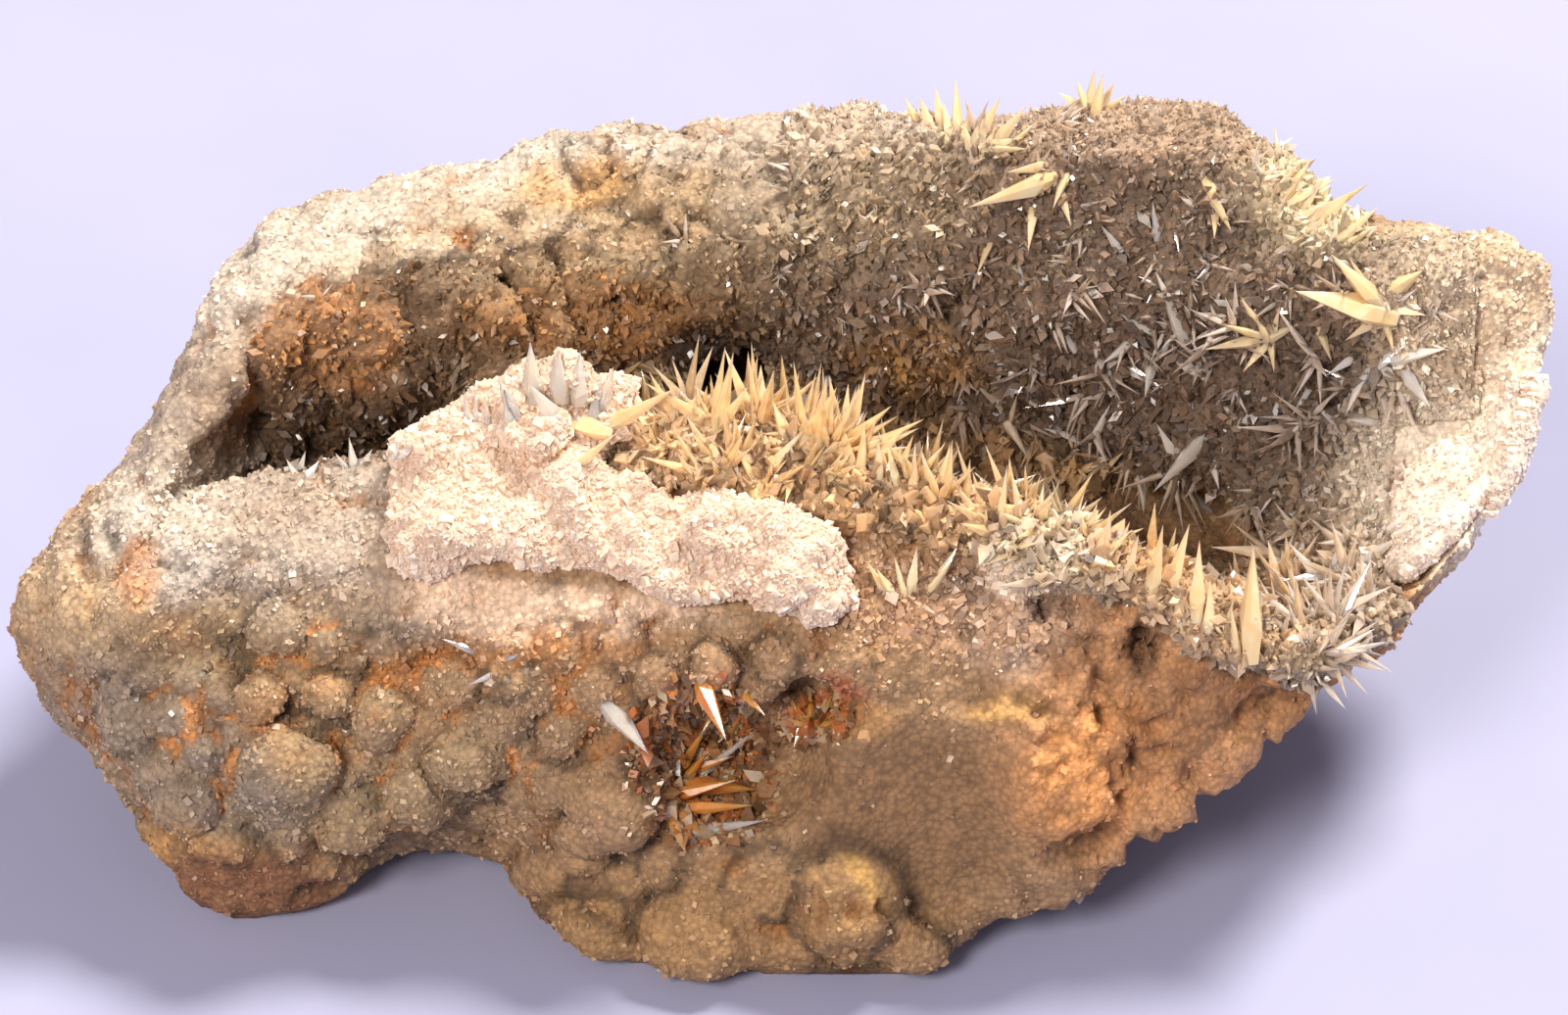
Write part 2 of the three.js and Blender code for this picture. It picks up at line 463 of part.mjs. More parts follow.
/** The host rock: the plain skin, its lumps, less its pits and all that is below the table. */
function hostRock(skin, skinMesh) {
  const lumps = [...FRONT_LUMPS, ...CREST_LUMPS, ...HOLLOW_LUMPS].map((row) => lump(skinMesh, row));
  const belowTable = solidOf(new THREE.BoxGeometry(300, 300, 40).translate(0, 0, -20));
  const pits = Object.values(PITS).map((row) => pit(row));
  const cuts = wasm.Manifold.union([...pits, belowTable]);
  return biggest(wasm.Manifold.union([skin, ...lumps]).subtract(cuts), ROCK_DETAIL);
}

/**
 * A crust over whole facets of the rock's skin, which keeps the skin's own corners and so lies evenly on it.
 * `covers(x, share)` says which facets it covers and `thickness(x, share)` how high it rises over them.
 */
function crustOver(covers, thickness) {
  const at = (list, i) => (i + list.length) % list.length;
  const covered = (i, j) => i >= 0 && i + 1 < STATIONS.length && covers(STATIONS[i], PLACES[at(PLACES, j)]);
  const onRim = (i, j) => ![0, -1].every((di) => [0, -1].every((dj) => covered(i + di, j + dj)));
  const points = [];
  const corners = new Map();
  const corner = (i, j, level) => {
    const key = `${i} ${at(PLACES, j)} ${level}`;
    if (!corners.has(key)) {
      const [x, share] = [STATIONS[i], PLACES[at(PLACES, j)]];
      const top = SEAT_GAP + (onRim(i, j) ? LEAST_CRUST : Math.max(LEAST_CRUST, thickness(x, share)));
      corners.set(key, points.push(skinPoint(x, share, level ? top : SEAT_GAP)) - 1);
    }
    return corners.get(key);
  };
  const triangles = [];
  const quad = (a, b, c, d) => triangles.push(a, c, b, a, d, c);
  STATIONS.forEach((_, i) => {
    PLACES.forEach((__, j) => {
      if (!covered(i, j)) return;
      const ring = [
        [i, j],
        [i, j + 1],
        [i + 1, j + 1],
        [i + 1, j],
      ];
      const [a, b, c, d] = ring.map(([k, l]) => corner(k, l, 1));
      const [e, f, g, h] = ring.map(([k, l]) => corner(k, l, 0));
      quad(a, b, c, d);
      quad(h, g, f, e);
      if (!covered(i, j - 1)) quad(a, d, h, e);
      if (!covered(i, j + 1)) quad(c, b, f, g);
      if (!covered(i - 1, j)) quad(b, a, e, f);
      if (!covered(i + 1, j)) quad(d, c, g, h);
    });
  });
  return facingOut(new THREE.BufferGeometry().setFromPoints(points).setIndex(triangles));
}

/**
 * A lining over part of the rock's skin, from x `left` to `right` and from the outline place `from` to `to`.
 * `thickness(x, share)` is its height over the skin; it dips into the skin along its four edges.
 */
function lining({ left, right, from, to, columns, rows, thickness }) {
  const sheet = (lift) =>
    Array.from({ length: columns }, (_, i) => {
      const x = THREE.MathUtils.lerp(left, right, i / (columns - 1));
      return Array.from({ length: rows }, (_, j) => {
        const share = THREE.MathUtils.lerp(from(x), to(x), j / (rows - 1));
        return skinPoint(x, (share + 1) % 1, lift(x, share, i, j));
      });
    });
  const onEdge = (i, j) => i === 0 || j === 0 || i === columns - 1 || j === rows - 1;
  const top = sheet((x, share, i, j) => (onEdge(i, j) ? -0.6 : thickness(x, share)));
  const bottom = sheet((x, share, i, j) => (onEdge(i, j) ? -1.1 : -0.9));
  const loops = top.map((row, i) => [...row, ...bottom[i].reverse()]);
  return facingOut(loftedLoops(loops));
}

/** How much the crust rises above its common thickness along the front ridge. */
function mound(x, share) {
  const along = (x - MOUND_MIDDLE) / MOUND_REACH;
  const over = (share - place("lip") + 0.008) / 0.03;
  return MOUND_HEIGHT * Math.exp(-along * along - over * over);
}

/** Whether the crust covers a facet: the hollow from its back edge to its lip, and the crest on the right. */
function crustCovers(x, share) {
  if (x < CRUST_LEFT || x > CRUST_RIGHT) return false;
  const backEdge = x > CREST_CRUST_LEFT ? place("crest") : place("edge");
  const pastLip = (x < SHELF_OVERHANG ? -1 / 2 : 1 / 3) / RAIL_ORDER.length;
  const frontEdge = x > END_CLEARANCE ? place("wall") : place("lip") + pastLip;
  return share >= backEdge - 0.001 && share < frontEdge - 0.001;
}

/** The crystals that line the hollow, grown together into one crust that lies over the rock. */
function vugCrust(neighbours, lumps) {
  const bed = crustOver(
    crustCovers,
    (x, share) => CRUST_THICKNESS + 0.75 * ripple(x, share * 90, 3, 3.1) + mound(x, share),
  );
  const bedMesh = sightable(bed);
  const spikes = GREAT_SPIKES.map((row) => seatedSpike(bedMesh, row));
  const caves = HOLLOW_PITS.map((name) => pit(PITS[name], PIT_CLEARANCE));
  const cuts = wasm.Manifold.union([...caves, ...lumps]);
  const grownTogether = biggest(bed.add(wasm.Manifold.union(spikes)).subtract(cuts), CRYSTAL_DETAIL);
  return biggest(grownTogether.subtract(wasm.Manifold.union(neighbours)), SLIVER);
}

/** A value at x of rows [x, first, second, ...], straight between them. */
function between(rows, x, column) {
  const next = Math.max(1, rows.findIndex((row) => row[0] >= x));
  const [before, after] = [rows[next - 1], rows[next]];
  return THREE.MathUtils.lerp(before[column], after[column], (x - before[0]) / (after[0] - before[0]));
}

/** The broken white calcite of the front lip with the blocky crystals on it. */
function whiteShelf(seat) {
  const bed = lining({
    left: SHELF_LEFT,
    right: SHELF_RIGHT,
    from: (x) => place("lip") + between(SHELF_EDGES, x, 1) / RAIL_ORDER.length,
    to: (x) => place("lip") + between(SHELF_EDGES, x, 2) / RAIL_ORDER.length,
    columns: 16,
    rows: 6,
    thickness: (x, share) => SHELF_THICKNESS + 0.9 * ripple(x, share * 100, 8, 2.6),
  });
  return biggest(bed.add(wasm.Manifold.union(SHELF_BLOCKS.map(rhomb))).subtract(seat), CRYSTAL_DETAIL);
}

/** The massive white calcite that closes the right end of the hollow. */
function whiteEnd(seat) {
  const bed = lining({
    left: END_LEFT,
    right: END_RIGHT,
    from: () => place("wall") + 0.01,
    to: () => place("lip") - 0.02,
    columns: 8,
    rows: 6,
    thickness: (x, share) => END_THICKNESS + 0.5 * ripple(x, share * 80, 6, 3),
  });
  return biggest(bed.subtract(seat), CRYSTAL_DETAIL);
}

/** The sheaf of pointed crystals in the front pocket, grown from one bed. */
function pocketCluster(rockMesh, seat) {
  const root = hitOn(rockMesh, ...POCKET_ROOT).point;
  const bed = rippledBall(new THREE.Vector3(...POCKET_BED), root, 0.15, 1);
  const spikes = POCKET_TIPS.map(([across, up, lean, radius]) =>
    spike(root, seenBeside(root, across - POCKET_ROOT[0], up - POCKET_ROOT[1], lean), radius),
  );
  return biggest(bed.add(wasm.Manifold.union(spikes)).subtract(seat), CRYSTAL_DETAIL);
}

const skin = plainSkin();
const skinMesh = sightable(skin);
const rock = hostRock(skin, skinMesh);
const rockSeat = grown(rock, SEAT_GAP);
const end = whiteEnd(rockSeat);
const shelf = whiteShelf(rockSeat);
const pieces = {
  host_rock: rock,
  vug_crystal_crust: vugCrust([grown(rock, LEAST_GAP), grown(end, SEAT_GAP), grown(shelf, SEAT_GAP)], HOLLOW_LUMPS.map((row) => lump(skinMesh, row, SEAT_GAP))),
  white_calcite_shelf: shelf,
  white_calcite_end: end,
  pocket_crystal_cluster: pocketCluster(sightable(rock), rockSeat),
};

const specimen = new THREE.Group();
for (const [name, solid] of Object.entries(pieces)) {
  const mesh = new THREE.Mesh(geometryOf(solid), new THREE.MeshStandardMaterial({ metalness: 0, ...COLOURS[name] }));
  mesh.name = name;
  specimen.add(mesh);
}

// The specimen's middle stands over the origin and its lowest face on Z = 0
const box = new THREE.Box3().setFromObject(specimen, true);
specimen.position.set(-(box.min.x + box.max.x) / 2, -(box.min.y + box.max.y) / 2, -box.min.z);

export default specimen;
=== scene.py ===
"""Looks of a calcite hand specimen: an iron-stained rock whose open hollow is lined with pointed crystals.

The rock body, the crystal bed of the hollow, the two white calcite masses and the crystal sheaf of the front
pocket each take their finish here. Sizes are in millimetres until a mesh is made, which is in metres. Places
on the specimen are given as columns and rows of its display view, which is 42 degrees above the table.
"""

import logging
import math
from dataclasses import dataclass
from enum import Enum
from typing import Dict, List, Optional, Sequence, Tuple, Union

import bmesh
import bpy
import numpy as np
from mathutils import Matrix, Vector
from mathutils.bvhtree import BVHTree

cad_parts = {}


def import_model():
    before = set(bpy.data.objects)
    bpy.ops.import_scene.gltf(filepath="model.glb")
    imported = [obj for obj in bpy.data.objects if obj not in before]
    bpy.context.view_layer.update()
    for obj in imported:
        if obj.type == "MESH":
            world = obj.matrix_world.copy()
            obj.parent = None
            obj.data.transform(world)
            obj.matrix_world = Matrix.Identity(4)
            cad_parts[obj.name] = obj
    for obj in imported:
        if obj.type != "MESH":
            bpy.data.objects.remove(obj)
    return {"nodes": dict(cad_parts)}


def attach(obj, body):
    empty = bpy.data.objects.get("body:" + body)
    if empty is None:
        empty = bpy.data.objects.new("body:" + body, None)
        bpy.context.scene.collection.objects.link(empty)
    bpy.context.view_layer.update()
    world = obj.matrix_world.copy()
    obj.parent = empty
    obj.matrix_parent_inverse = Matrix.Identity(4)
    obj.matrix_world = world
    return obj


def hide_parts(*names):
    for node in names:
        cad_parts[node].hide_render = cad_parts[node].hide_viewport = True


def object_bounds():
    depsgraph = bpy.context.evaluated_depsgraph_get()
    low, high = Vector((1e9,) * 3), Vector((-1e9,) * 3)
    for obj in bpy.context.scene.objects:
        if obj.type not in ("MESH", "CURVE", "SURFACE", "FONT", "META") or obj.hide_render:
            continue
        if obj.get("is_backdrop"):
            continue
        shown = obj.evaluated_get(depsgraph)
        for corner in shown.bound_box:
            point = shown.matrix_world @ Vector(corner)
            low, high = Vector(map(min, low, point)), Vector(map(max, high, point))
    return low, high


LOG = logging.getLogger("calcite")
METRES_PER_MM = 1e-3
SEED = 20741

Colour = Tuple[float, float, float]
Input = Union[float, Tuple[float, ...], bpy.types.NodeSocket]


def linear(red: float, green: float, blue: float) -> Colour:
    """Linear light of a screen colour of 0 to 255: c/12.92, or ((c + 0.055)/1.055)^2.4 above 0.04045."""
    shares = [value / 255.0 for value in (red, green, blue)]
    return tuple(c / 12.92 if c <= 0.04045 else ((c + 0.055) / 1.055) ** 2.4 for c in shares)


def smoothstep(low: float, high: float, values: np.ndarray) -> np.ndarray:
    """Eases from 0 at low to 1 at high by 3t^2 - 2t^3; high may lie below low, for a fall."""
    share = np.clip((values - low) / (high - low), 0.0, 1.0)
    return share * share * (3.0 - 2.0 * share)


def unit(vectors: np.ndarray) -> np.ndarray:
    """Vectors, x, y, z on the last axis, each over its own length."""
    length = np.linalg.norm(vectors, axis=-1, keepdims=True)
    return vectors / np.maximum(length, 1e-12)


class Noise:
    """Solid noise on an endless lattice, the same on every run."""

    @staticmethod
    def lattice(cells: np.ndarray, seed: int) -> np.ndarray:
        """Gives each lattice cell its own random share.

        Args:
            cells: Whole cell numbers, one row of three per cell.
            seed: Which noise this is.

        Returns:
            One value from 0 to 1 per cell, by mixing the bits of the three numbers.
        """
        c = cells.astype(np.int64).astype(np.uint32)
        mixed = c[:, 0] * np.uint32(73856093) ^ c[:, 1] * np.uint32(19349663)
        mixed = mixed ^ c[:, 2] * np.uint32(83492791) ^ np.uint32((seed * 2654435761) & 0xFFFFFFFF)
        mixed ^= mixed >> np.uint32(16)
        mixed *= np.uint32(0x7FEB352D)
        mixed ^= mixed >> np.uint32(15)
        mixed *= np.uint32(0x846CA68B)
        mixed ^= mixed >> np.uint32(16)
        return mixed.astype(np.float64) / 4294967295.0

    @classmethod
    def smooth(cls, points: np.ndarray, size: float, seed: int) -> np.ndarray:
        """Value noise that blends the eight corners of a cell.

        Args:
            points: Places in mm.
            size: Edge of a cell in mm.
            seed: Which noise this is.

        Returns:
            Values from -1 to 1.
        """
        scaled = points / size
        base = np.floor(scaled)
        part = scaled - base
        ease = part * part * (3.0 - 2.0 * part)
        total = np.zeros(len(points))
        for corner in np.ndindex(2, 2, 2):
            share = np.prod(np.where(corner, ease, 1.0 - ease), axis=1)
            total += share * cls.lattice(base + corner, seed)
        return total * 2.0 - 1.0

    @classmethod
    def layered(cls, points: np.ndarray, size: float, octaves: int, seed: int) -> np.ndarray:
        """Adds halved noises of halved size.

        Args:
            points: Places in mm.
            size: Size of the coarsest noise in mm.
            octaves: How many noises are added.
            seed: Which noise this is.

        Returns:
            Values of about -1 to 1.
        """
        total = np.zeros(len(points))
        for octave in range(octaves):
            total += 0.5**octave * cls.smooth(points, size * 0.5**octave, seed + 17 * octave)
        return total / (2.0 - 0.5 ** (octaves - 1)) * 1.4

    @classmethod
    def cells(cls, points: np.ndarray, size: float, seed: int) -> Tuple[np.ndarray, np.ndarray]:
        """Distance to the nearest of one scattered point per cell, and that point's own share.

        Args:
            points: Places in mm.
            size: Edge of a cell in mm.
            seed: Which scatter this is.

        Returns:
            The distance in cell edges, and a random value from 0 to 1 that is the same all over one cell.
        """
        scaled = points / size
        base = np.floor(scaled)
        nearest = np.full(len(points), 9.0)
        own = np.zeros(len(points))
        for step in np.ndindex(3, 3, 3):
            cell = base + (np.array(step) - 1.0)
            spot = np.stack([cls.lattice(cell, seed + axis) for axis in range(3)], axis=1)
            distance = np.linalg.norm(cell + spot - scaled, axis=1)
            closer = distance < nearest
            nearest = np.where(closer, distance, nearest)
            own = np.where(closer, cls.lattice(cell, seed + 7), own)
        return nearest, own


@dataclass(frozen=True)
class DisplayView:
    """The view in which the specimen is displayed, and how places in it lie on the specimen."""

    elevation: float = 42.0
    distance: float = 700.0
    aim: Tuple[float, float, float] = (0.306, 2.303, 22.0)
    columns: int = 1600
    rows: int = 1036
    columns_per_mm: float = 12.0

    @property
    def right(self) -> np.ndarray:
        """Unit vector to the right of the view."""
        return np.array((1.0, 0.0, 0.0))

    @property
    def up(self) -> np.ndarray:
        """Unit vector up in the view: (0, sin e, cos e) for the elevation e."""
        angle = math.radians(self.elevation)
        return np.array((0.0, math.sin(angle), math.cos(angle)))

    @property
    def back(self) -> np.ndarray:
        """Unit vector from the specimen to the viewer: (0, -cos e, sin e) for the elevation e."""
        angle = math.radians(self.elevation)
        return np.array((0.0, -math.cos(angle), math.sin(angle)))

    @property
    def eye(self) -> np.ndarray:
        """Where the viewer is in mm: the aim plus the distance times the direction to the viewer."""
        return np.array(self.aim) + self.distance * self.back

    def seen_at(self, points: np.ndarray) -> np.ndarray:
        """Finds the column and row at which places are seen.

        Args:
            points: Places in mm.

        Returns:
            Column and row per place, by perspective from the eye.
        """
        offset = points - self.eye
        scale = self.columns_per_mm * self.distance / -(offset @ self.back)
        return np.stack(
            [self.columns / 2 + offset @ self.right * scale, self.rows / 2 - offset @ self.up * scale], axis=1
        )

    def sight(self, column: float, row: float) -> Tuple[np.ndarray, np.ndarray]:
        """The sight line through a column and row.

        Args:
            column: Column of the view.
            row: Row of the view.

        Returns:
            The eye and the line's unit direction.
        """
        across = (column - self.columns / 2) / self.columns_per_mm
        up = (self.rows / 2 - row) / self.columns_per_mm
        target = np.array(self.aim) + across * self.right + up * self.up
        return self.eye, unit(target - self.eye)


@dataclass
class Surface:
    """Points in mm and the faces between them, three or four corners each."""

    points: np.ndarray
    faces: np.ndarray

    @classmethod
    def of_node(cls, node: bpy.types.Object, voxel: float) -> "Surface":
        """Copies a CAD node and gives its surface even, fine faces.

        Args:
            node: The CAD node.
            voxel: Edge of a face in mm.

        Returns:
            The even surface, all of quads.
        """
        mesh = bpy.data.meshes.new("even_copy")
        build = bmesh.new()
        build.from_mesh(node.data)
        bmesh.ops.remove_doubles(build, verts=build.verts, dist=1e-6)
        build.to_mesh(mesh)
        build.free()
        copy = bpy.data.objects.new("even_copy", mesh)
        bpy.context.scene.collection.objects.link(copy)
        remesh = copy.modifiers.new("even", "REMESH")
        remesh.mode = "VOXEL"
        remesh.voxel_size = voxel * METRES_PER_MM
        even = copy.evaluated_get(bpy.context.evaluated_depsgraph_get()).to_mesh()
        points = np.empty(len(even.vertices) * 3, np.float32)
        even.vertices.foreach_get("co", points)
        corners = np.empty(len(even.loops), np.int32)
        even.loops.foreach_get("vertex_index", corners)
        sizes = np.empty(len(even.polygons), np.int32)
        even.polygons.foreach_get("loop_total", sizes)
        if not (sizes == 4).all():
            raise ValueError("the even surface has faces of other than four corners")
        result = cls(points.reshape(-1, 3).astype(float) / METRES_PER_MM, corners.reshape(-1, 4))
        bpy.data.objects.remove(copy)
        bpy.data.meshes.remove(mesh)
        return result

    @property
    def edges(self) -> np.ndarray:
        """Each edge once, as two point numbers."""
        pairs = np.stack([self.faces.ravel(), np.roll(self.faces, -1, axis=1).ravel()], axis=1)
        return np.unique(np.sort(pairs, axis=1), axis=0)

    def face_normals(self) -> np.ndarray:
        """Face normals whose length is twice the face's area.

        Returns:
            The cross product of the diagonals of a quad, or of two edges of a triangle.
        """
        p = self.points[self.faces]
        if self.faces.shape[1] == 4:
            return np.cross(p[:, 2] - p[:, 0], p[:, 3] - p[:, 1])
        return np.cross(p[:, 1] - p[:, 0], p[:, 2] - p[:, 0])

    def normals(self) -> np.ndarray:
        """Unit normals at the points.

        Returns:
            The area-weighted mean of the normals of the faces round each point.
        """
        of_faces = self.face_normals()
        total = np.zeros_like(self.points)
        for corner in range(self.faces.shape[1]):
            for axis in range(3):
                total[:, axis] += np.bincount(
                    self.faces[:, corner], weights=of_faces[:, axis], minlength=len(self.points)
                )
        return unit(total)

    def spread(self, values: np.ndarray, passes: int, share: float = 0.5) -> np.ndarray:
        """Evens out values over the surface.

        Args:
            values: One or more values per point.
            passes: How many times each point moves towards the mean of its neighbours.
            share: How far it moves each time.

        Returns:
            The evened values.
        """
        edges = self.edges
        count = np.bincount(edges.ravel(), minlength=len(self.points)).astype(float)
        flat = values.reshape(len(values), -1).astype(float)
        for _ in range(passes):
            mean = np.empty_like(flat)
            for axis in range(flat.shape[1]):
                near = np.bincount(edges[:, 0], weights=flat[edges[:, 1], axis], minlength=len(flat))
                near += np.bincount(edges[:, 1], weights=flat[edges[:, 0], axis], minlength=len(flat))
                mean[:, axis] = near / np.maximum(count, 1.0)
            flat = flat + (mean - flat) * share
        return flat.reshape(values.shape)

    def tree(self) -> BVHTree:
        """A search tree over the faces, in mm."""
        return BVHTree.FromPolygons(self.points.tolist(), self.faces.tolist())

    @staticmethod
    def joined(parts: Sequence["Surface"]) -> "Surface":
        """Puts several surfaces into one, each with its own points.

        Args:
            parts: Surfaces of either face size.

        Returns:
            One surface; quads are cut into triangles where both sizes occur.
        """
        triangles = any(part.faces.shape[1] == 3 for part in parts)
        start, points, faces = 0, [], []
        for part in parts:
            rows = part.triangles() if triangles else part.faces
            faces.append(rows + start)
            points.append(part.points)
            start += len(part.points)
        return Surface(np.concatenate(points), np.concatenate(faces))

    def triangles(self) -> np.ndarray:
        """The faces as triangles.

        Returns:
            Three point numbers per triangle.
        """
        if self.faces.shape[1] == 3:
            return self.faces
        return np.concatenate([self.faces[:, [0, 1, 2]], self.faces[:, [0, 2, 3]]])

    def to_object(self, name: str, smooth: bool, colours: Optional[np.ndarray] = None) -> bpy.types.Object:
        """Makes a mesh object in metres.

        Args:
            name: Name of the object and of its mesh.
            smooth: True for rounded shading, False for flat facets.
            colours: One linear colour per point, kept as the attribute named tint.

        Returns:
            The object, at the origin, unturned and unscaled.
        """
        mesh = bpy.data.meshes.new(name)
        size = self.faces.shape[1]
        mesh.vertices.add(len(self.points))
        mesh.vertices.foreach_set("co", (self.points * METRES_PER_MM).astype(np.float32).ravel())
        mesh.loops.add(self.faces.size)
        mesh.loops.foreach_set("vertex_index", self.faces.astype(np.int32).ravel())
        mesh.polygons.add(len(self.faces))
        mesh.polygons.foreach_set("loop_start", np.arange(0, self.faces.size, size, dtype=np.int32))
        mesh.update(calc_edges=True)
        mesh.validate()
        mesh.polygons.foreach_set("use_smooth", np.full(len(mesh.polygons), smooth))
        if colours is not None:
            tint = mesh.attributes.new("tint", "FLOAT_COLOR", "POINT")
            shares = np.column_stack([colours, np.ones(len(colours))])
            tint.data.foreach_set("color", shares.astype(np.float32).ravel())
        made = bpy.data.objects.new(name, mesh)
        bpy.context.scene.collection.objects.link(made)
        return made


@dataclass(frozen=True)
class Zone:
    """A soft-edged oval of the display view, in columns and rows."""

    column: float
    row: float
    half_width: float
    half_height: float
    tilt: float = 0.0
    softness: float = 0.35

    def weight(self, seen: np.ndarray) -> np.ndarray:
        """How much places belong to the zone.

        Args:
            seen: Column and row per place.

        Returns:
            1 inside, 0 outside, eased over the softness on both sides of the oval's edge.
        """
        across, down = seen[:, 0] - self.column, seen[:, 1] - self.row
        angle = math.radians(self.tilt)
        along = across * math.cos(angle) + down * math.sin(angle)
        aside = down * math.cos(angle) - across * math.sin(angle)
        ratio = np.hypot(along / self.half_width, aside / self.half_height)
        return smoothstep(1.0 + self.softness, 1.0 - self.softness, ratio)


class Form(Enum):
    """How a zone of the rock is shaped."""

    GLOBULES = "rounded lumps side by side"
    CRAGS = "sharp ridges and pits"
    GRAIN = "fine soft unevenness"


@dataclass(frozen=True)
class Relief:
    """Relief of one zone of the rock."""

    name: str
    zone: Zone
    form: Form
    size: float
    height: float
    seed: int

    def shape(self, points: np.ndarray) -> np.ndarray:
        """The height of the form alone.

        Args:
            points: Places in mm.

        Returns:
            For globules sqrt(1 - (1.2 d)^2) of the distance d to a cell's point, times 0.75 to 1.25 by
            cell, less 0.6; for crags 1 - 2.4|n| of layered noise n; for grain the layered noise.
        """
        if self.form is Form.GLOBULES:
            bent = points + 0.25 * self.size * np.stack(
                [Noise.smooth(points, self.size, self.seed + 50 + axis) for axis in range(3)], axis=1
            )
            distance, own = Noise.cells(bent, self.size, self.seed)
            return np.sqrt(np.clip(1.0 - (1.2 * distance) ** 2, 0.0, 1.0)) * (0.75 + 0.5 * own) - 0.6
        if self.form is Form.CRAGS:
            return 1.0 - 2.4 * np.abs(Noise.layered(points, self.size, 4, self.seed))
        return Noise.layered(points, self.size, 3, self.seed)


@dataclass(frozen=True)
class StainOrShade:
    """A colour patch, either a natural stain or painted shade: where it lies, its colour, how strongly and
    how brokenly it covers.
    """

    name: str
    zone: Zone
    colour: Colour
    strength: float = 0.85
    broken: float = 0.35
    patch_size: float = 3.0


@dataclass(frozen=True)
class Knobs:
    """Round lumps that stand out of the rock one by one.

    Each row gives the column and row of the lump's middle, its radius in columns and its height in mm.
    """

    name: str
    rows: Tuple[Tuple[float, float, float, float], ...]

    def lift(self, seen: np.ndarray) -> Tuple[np.ndarray, np.ndarray]:
        """How far the lumps stand out, and where their feet are.

        Args:
            seen: Column and row per place.

        Returns:
            The largest of h sqrt(1 - d^2) over the lumps, with d the distance over the radius, and a value
            that is 1 in the gap round a lump's foot and 0 elsewhere.
        """
        height = np.zeros(len(seen))
        gap = np.zeros(len(seen))
        for column, row, radius, tall in self.rows:
            share = np.hypot(seen[:, 0] - column, seen[:, 1] - row) / radius
            height = np.maximum(height, tall * np.sqrt(np.clip(1.0 - share**2, 0.0, 1.0)))
            gap = np.maximum(gap, smoothstep(1.5, 1.02, share) * smoothstep(0.8, 1.0, share))
        return height, gap * (height < 0.3)


class ColourPatchMap:
    """Lays colour patches over one another."""

    def __init__(self, ground: Colour, stains: Sequence[StainOrShade], view: DisplayView) -> None:
        """Keeps the patches.

        Args:
            ground: Colour where no patch lies.
            stains: Patches, the later over the earlier.
            view: The display view that the zones refer to.
        """
        self.ground = ground
        self.stains = stains
        self.view = view

    def colours(self, points: np.ndarray, facing: np.ndarray, seed: int) -> np.ndarray:
        """Colours of places.

        Args:
            points: Places in mm.
            facing: How far each place faces the viewer, from -1 to 1.
            seed: Which noise breaks the patches up.

        Returns:
            One linear colour per place: each patch mixes in by its zone's weight, noise and facing.
        """
        warp = 22.0 * np.stack([Noise.layered(points, 9.0, 3, seed + k) for k in (1, 2)], axis=1)
        seen = self.view.seen_at(points) + warp
        front = smoothstep(-0.45, 0.05, facing)
        result = np.tile(np.array(self.ground), (len(points), 1))
        # Each patch is either a natural stain or painted shade.
        for number, stain in enumerate(self.stains):
            share = stain.zone.weight(seen) * front
            if not share.any():
                continue
            mottle = Noise.layered(points, stain.patch_size, 3, seed + 31 * number)
            cover = smoothstep(-0.75, 0.15, mottle - stain.broken * 0.9 + 0.25)
            share = (share * stain.strength * (1.0 - stain.broken + stain.broken * cover))[:, None]
            result = result * (1.0 - share) + np.array(stain.colour) * share
        return result


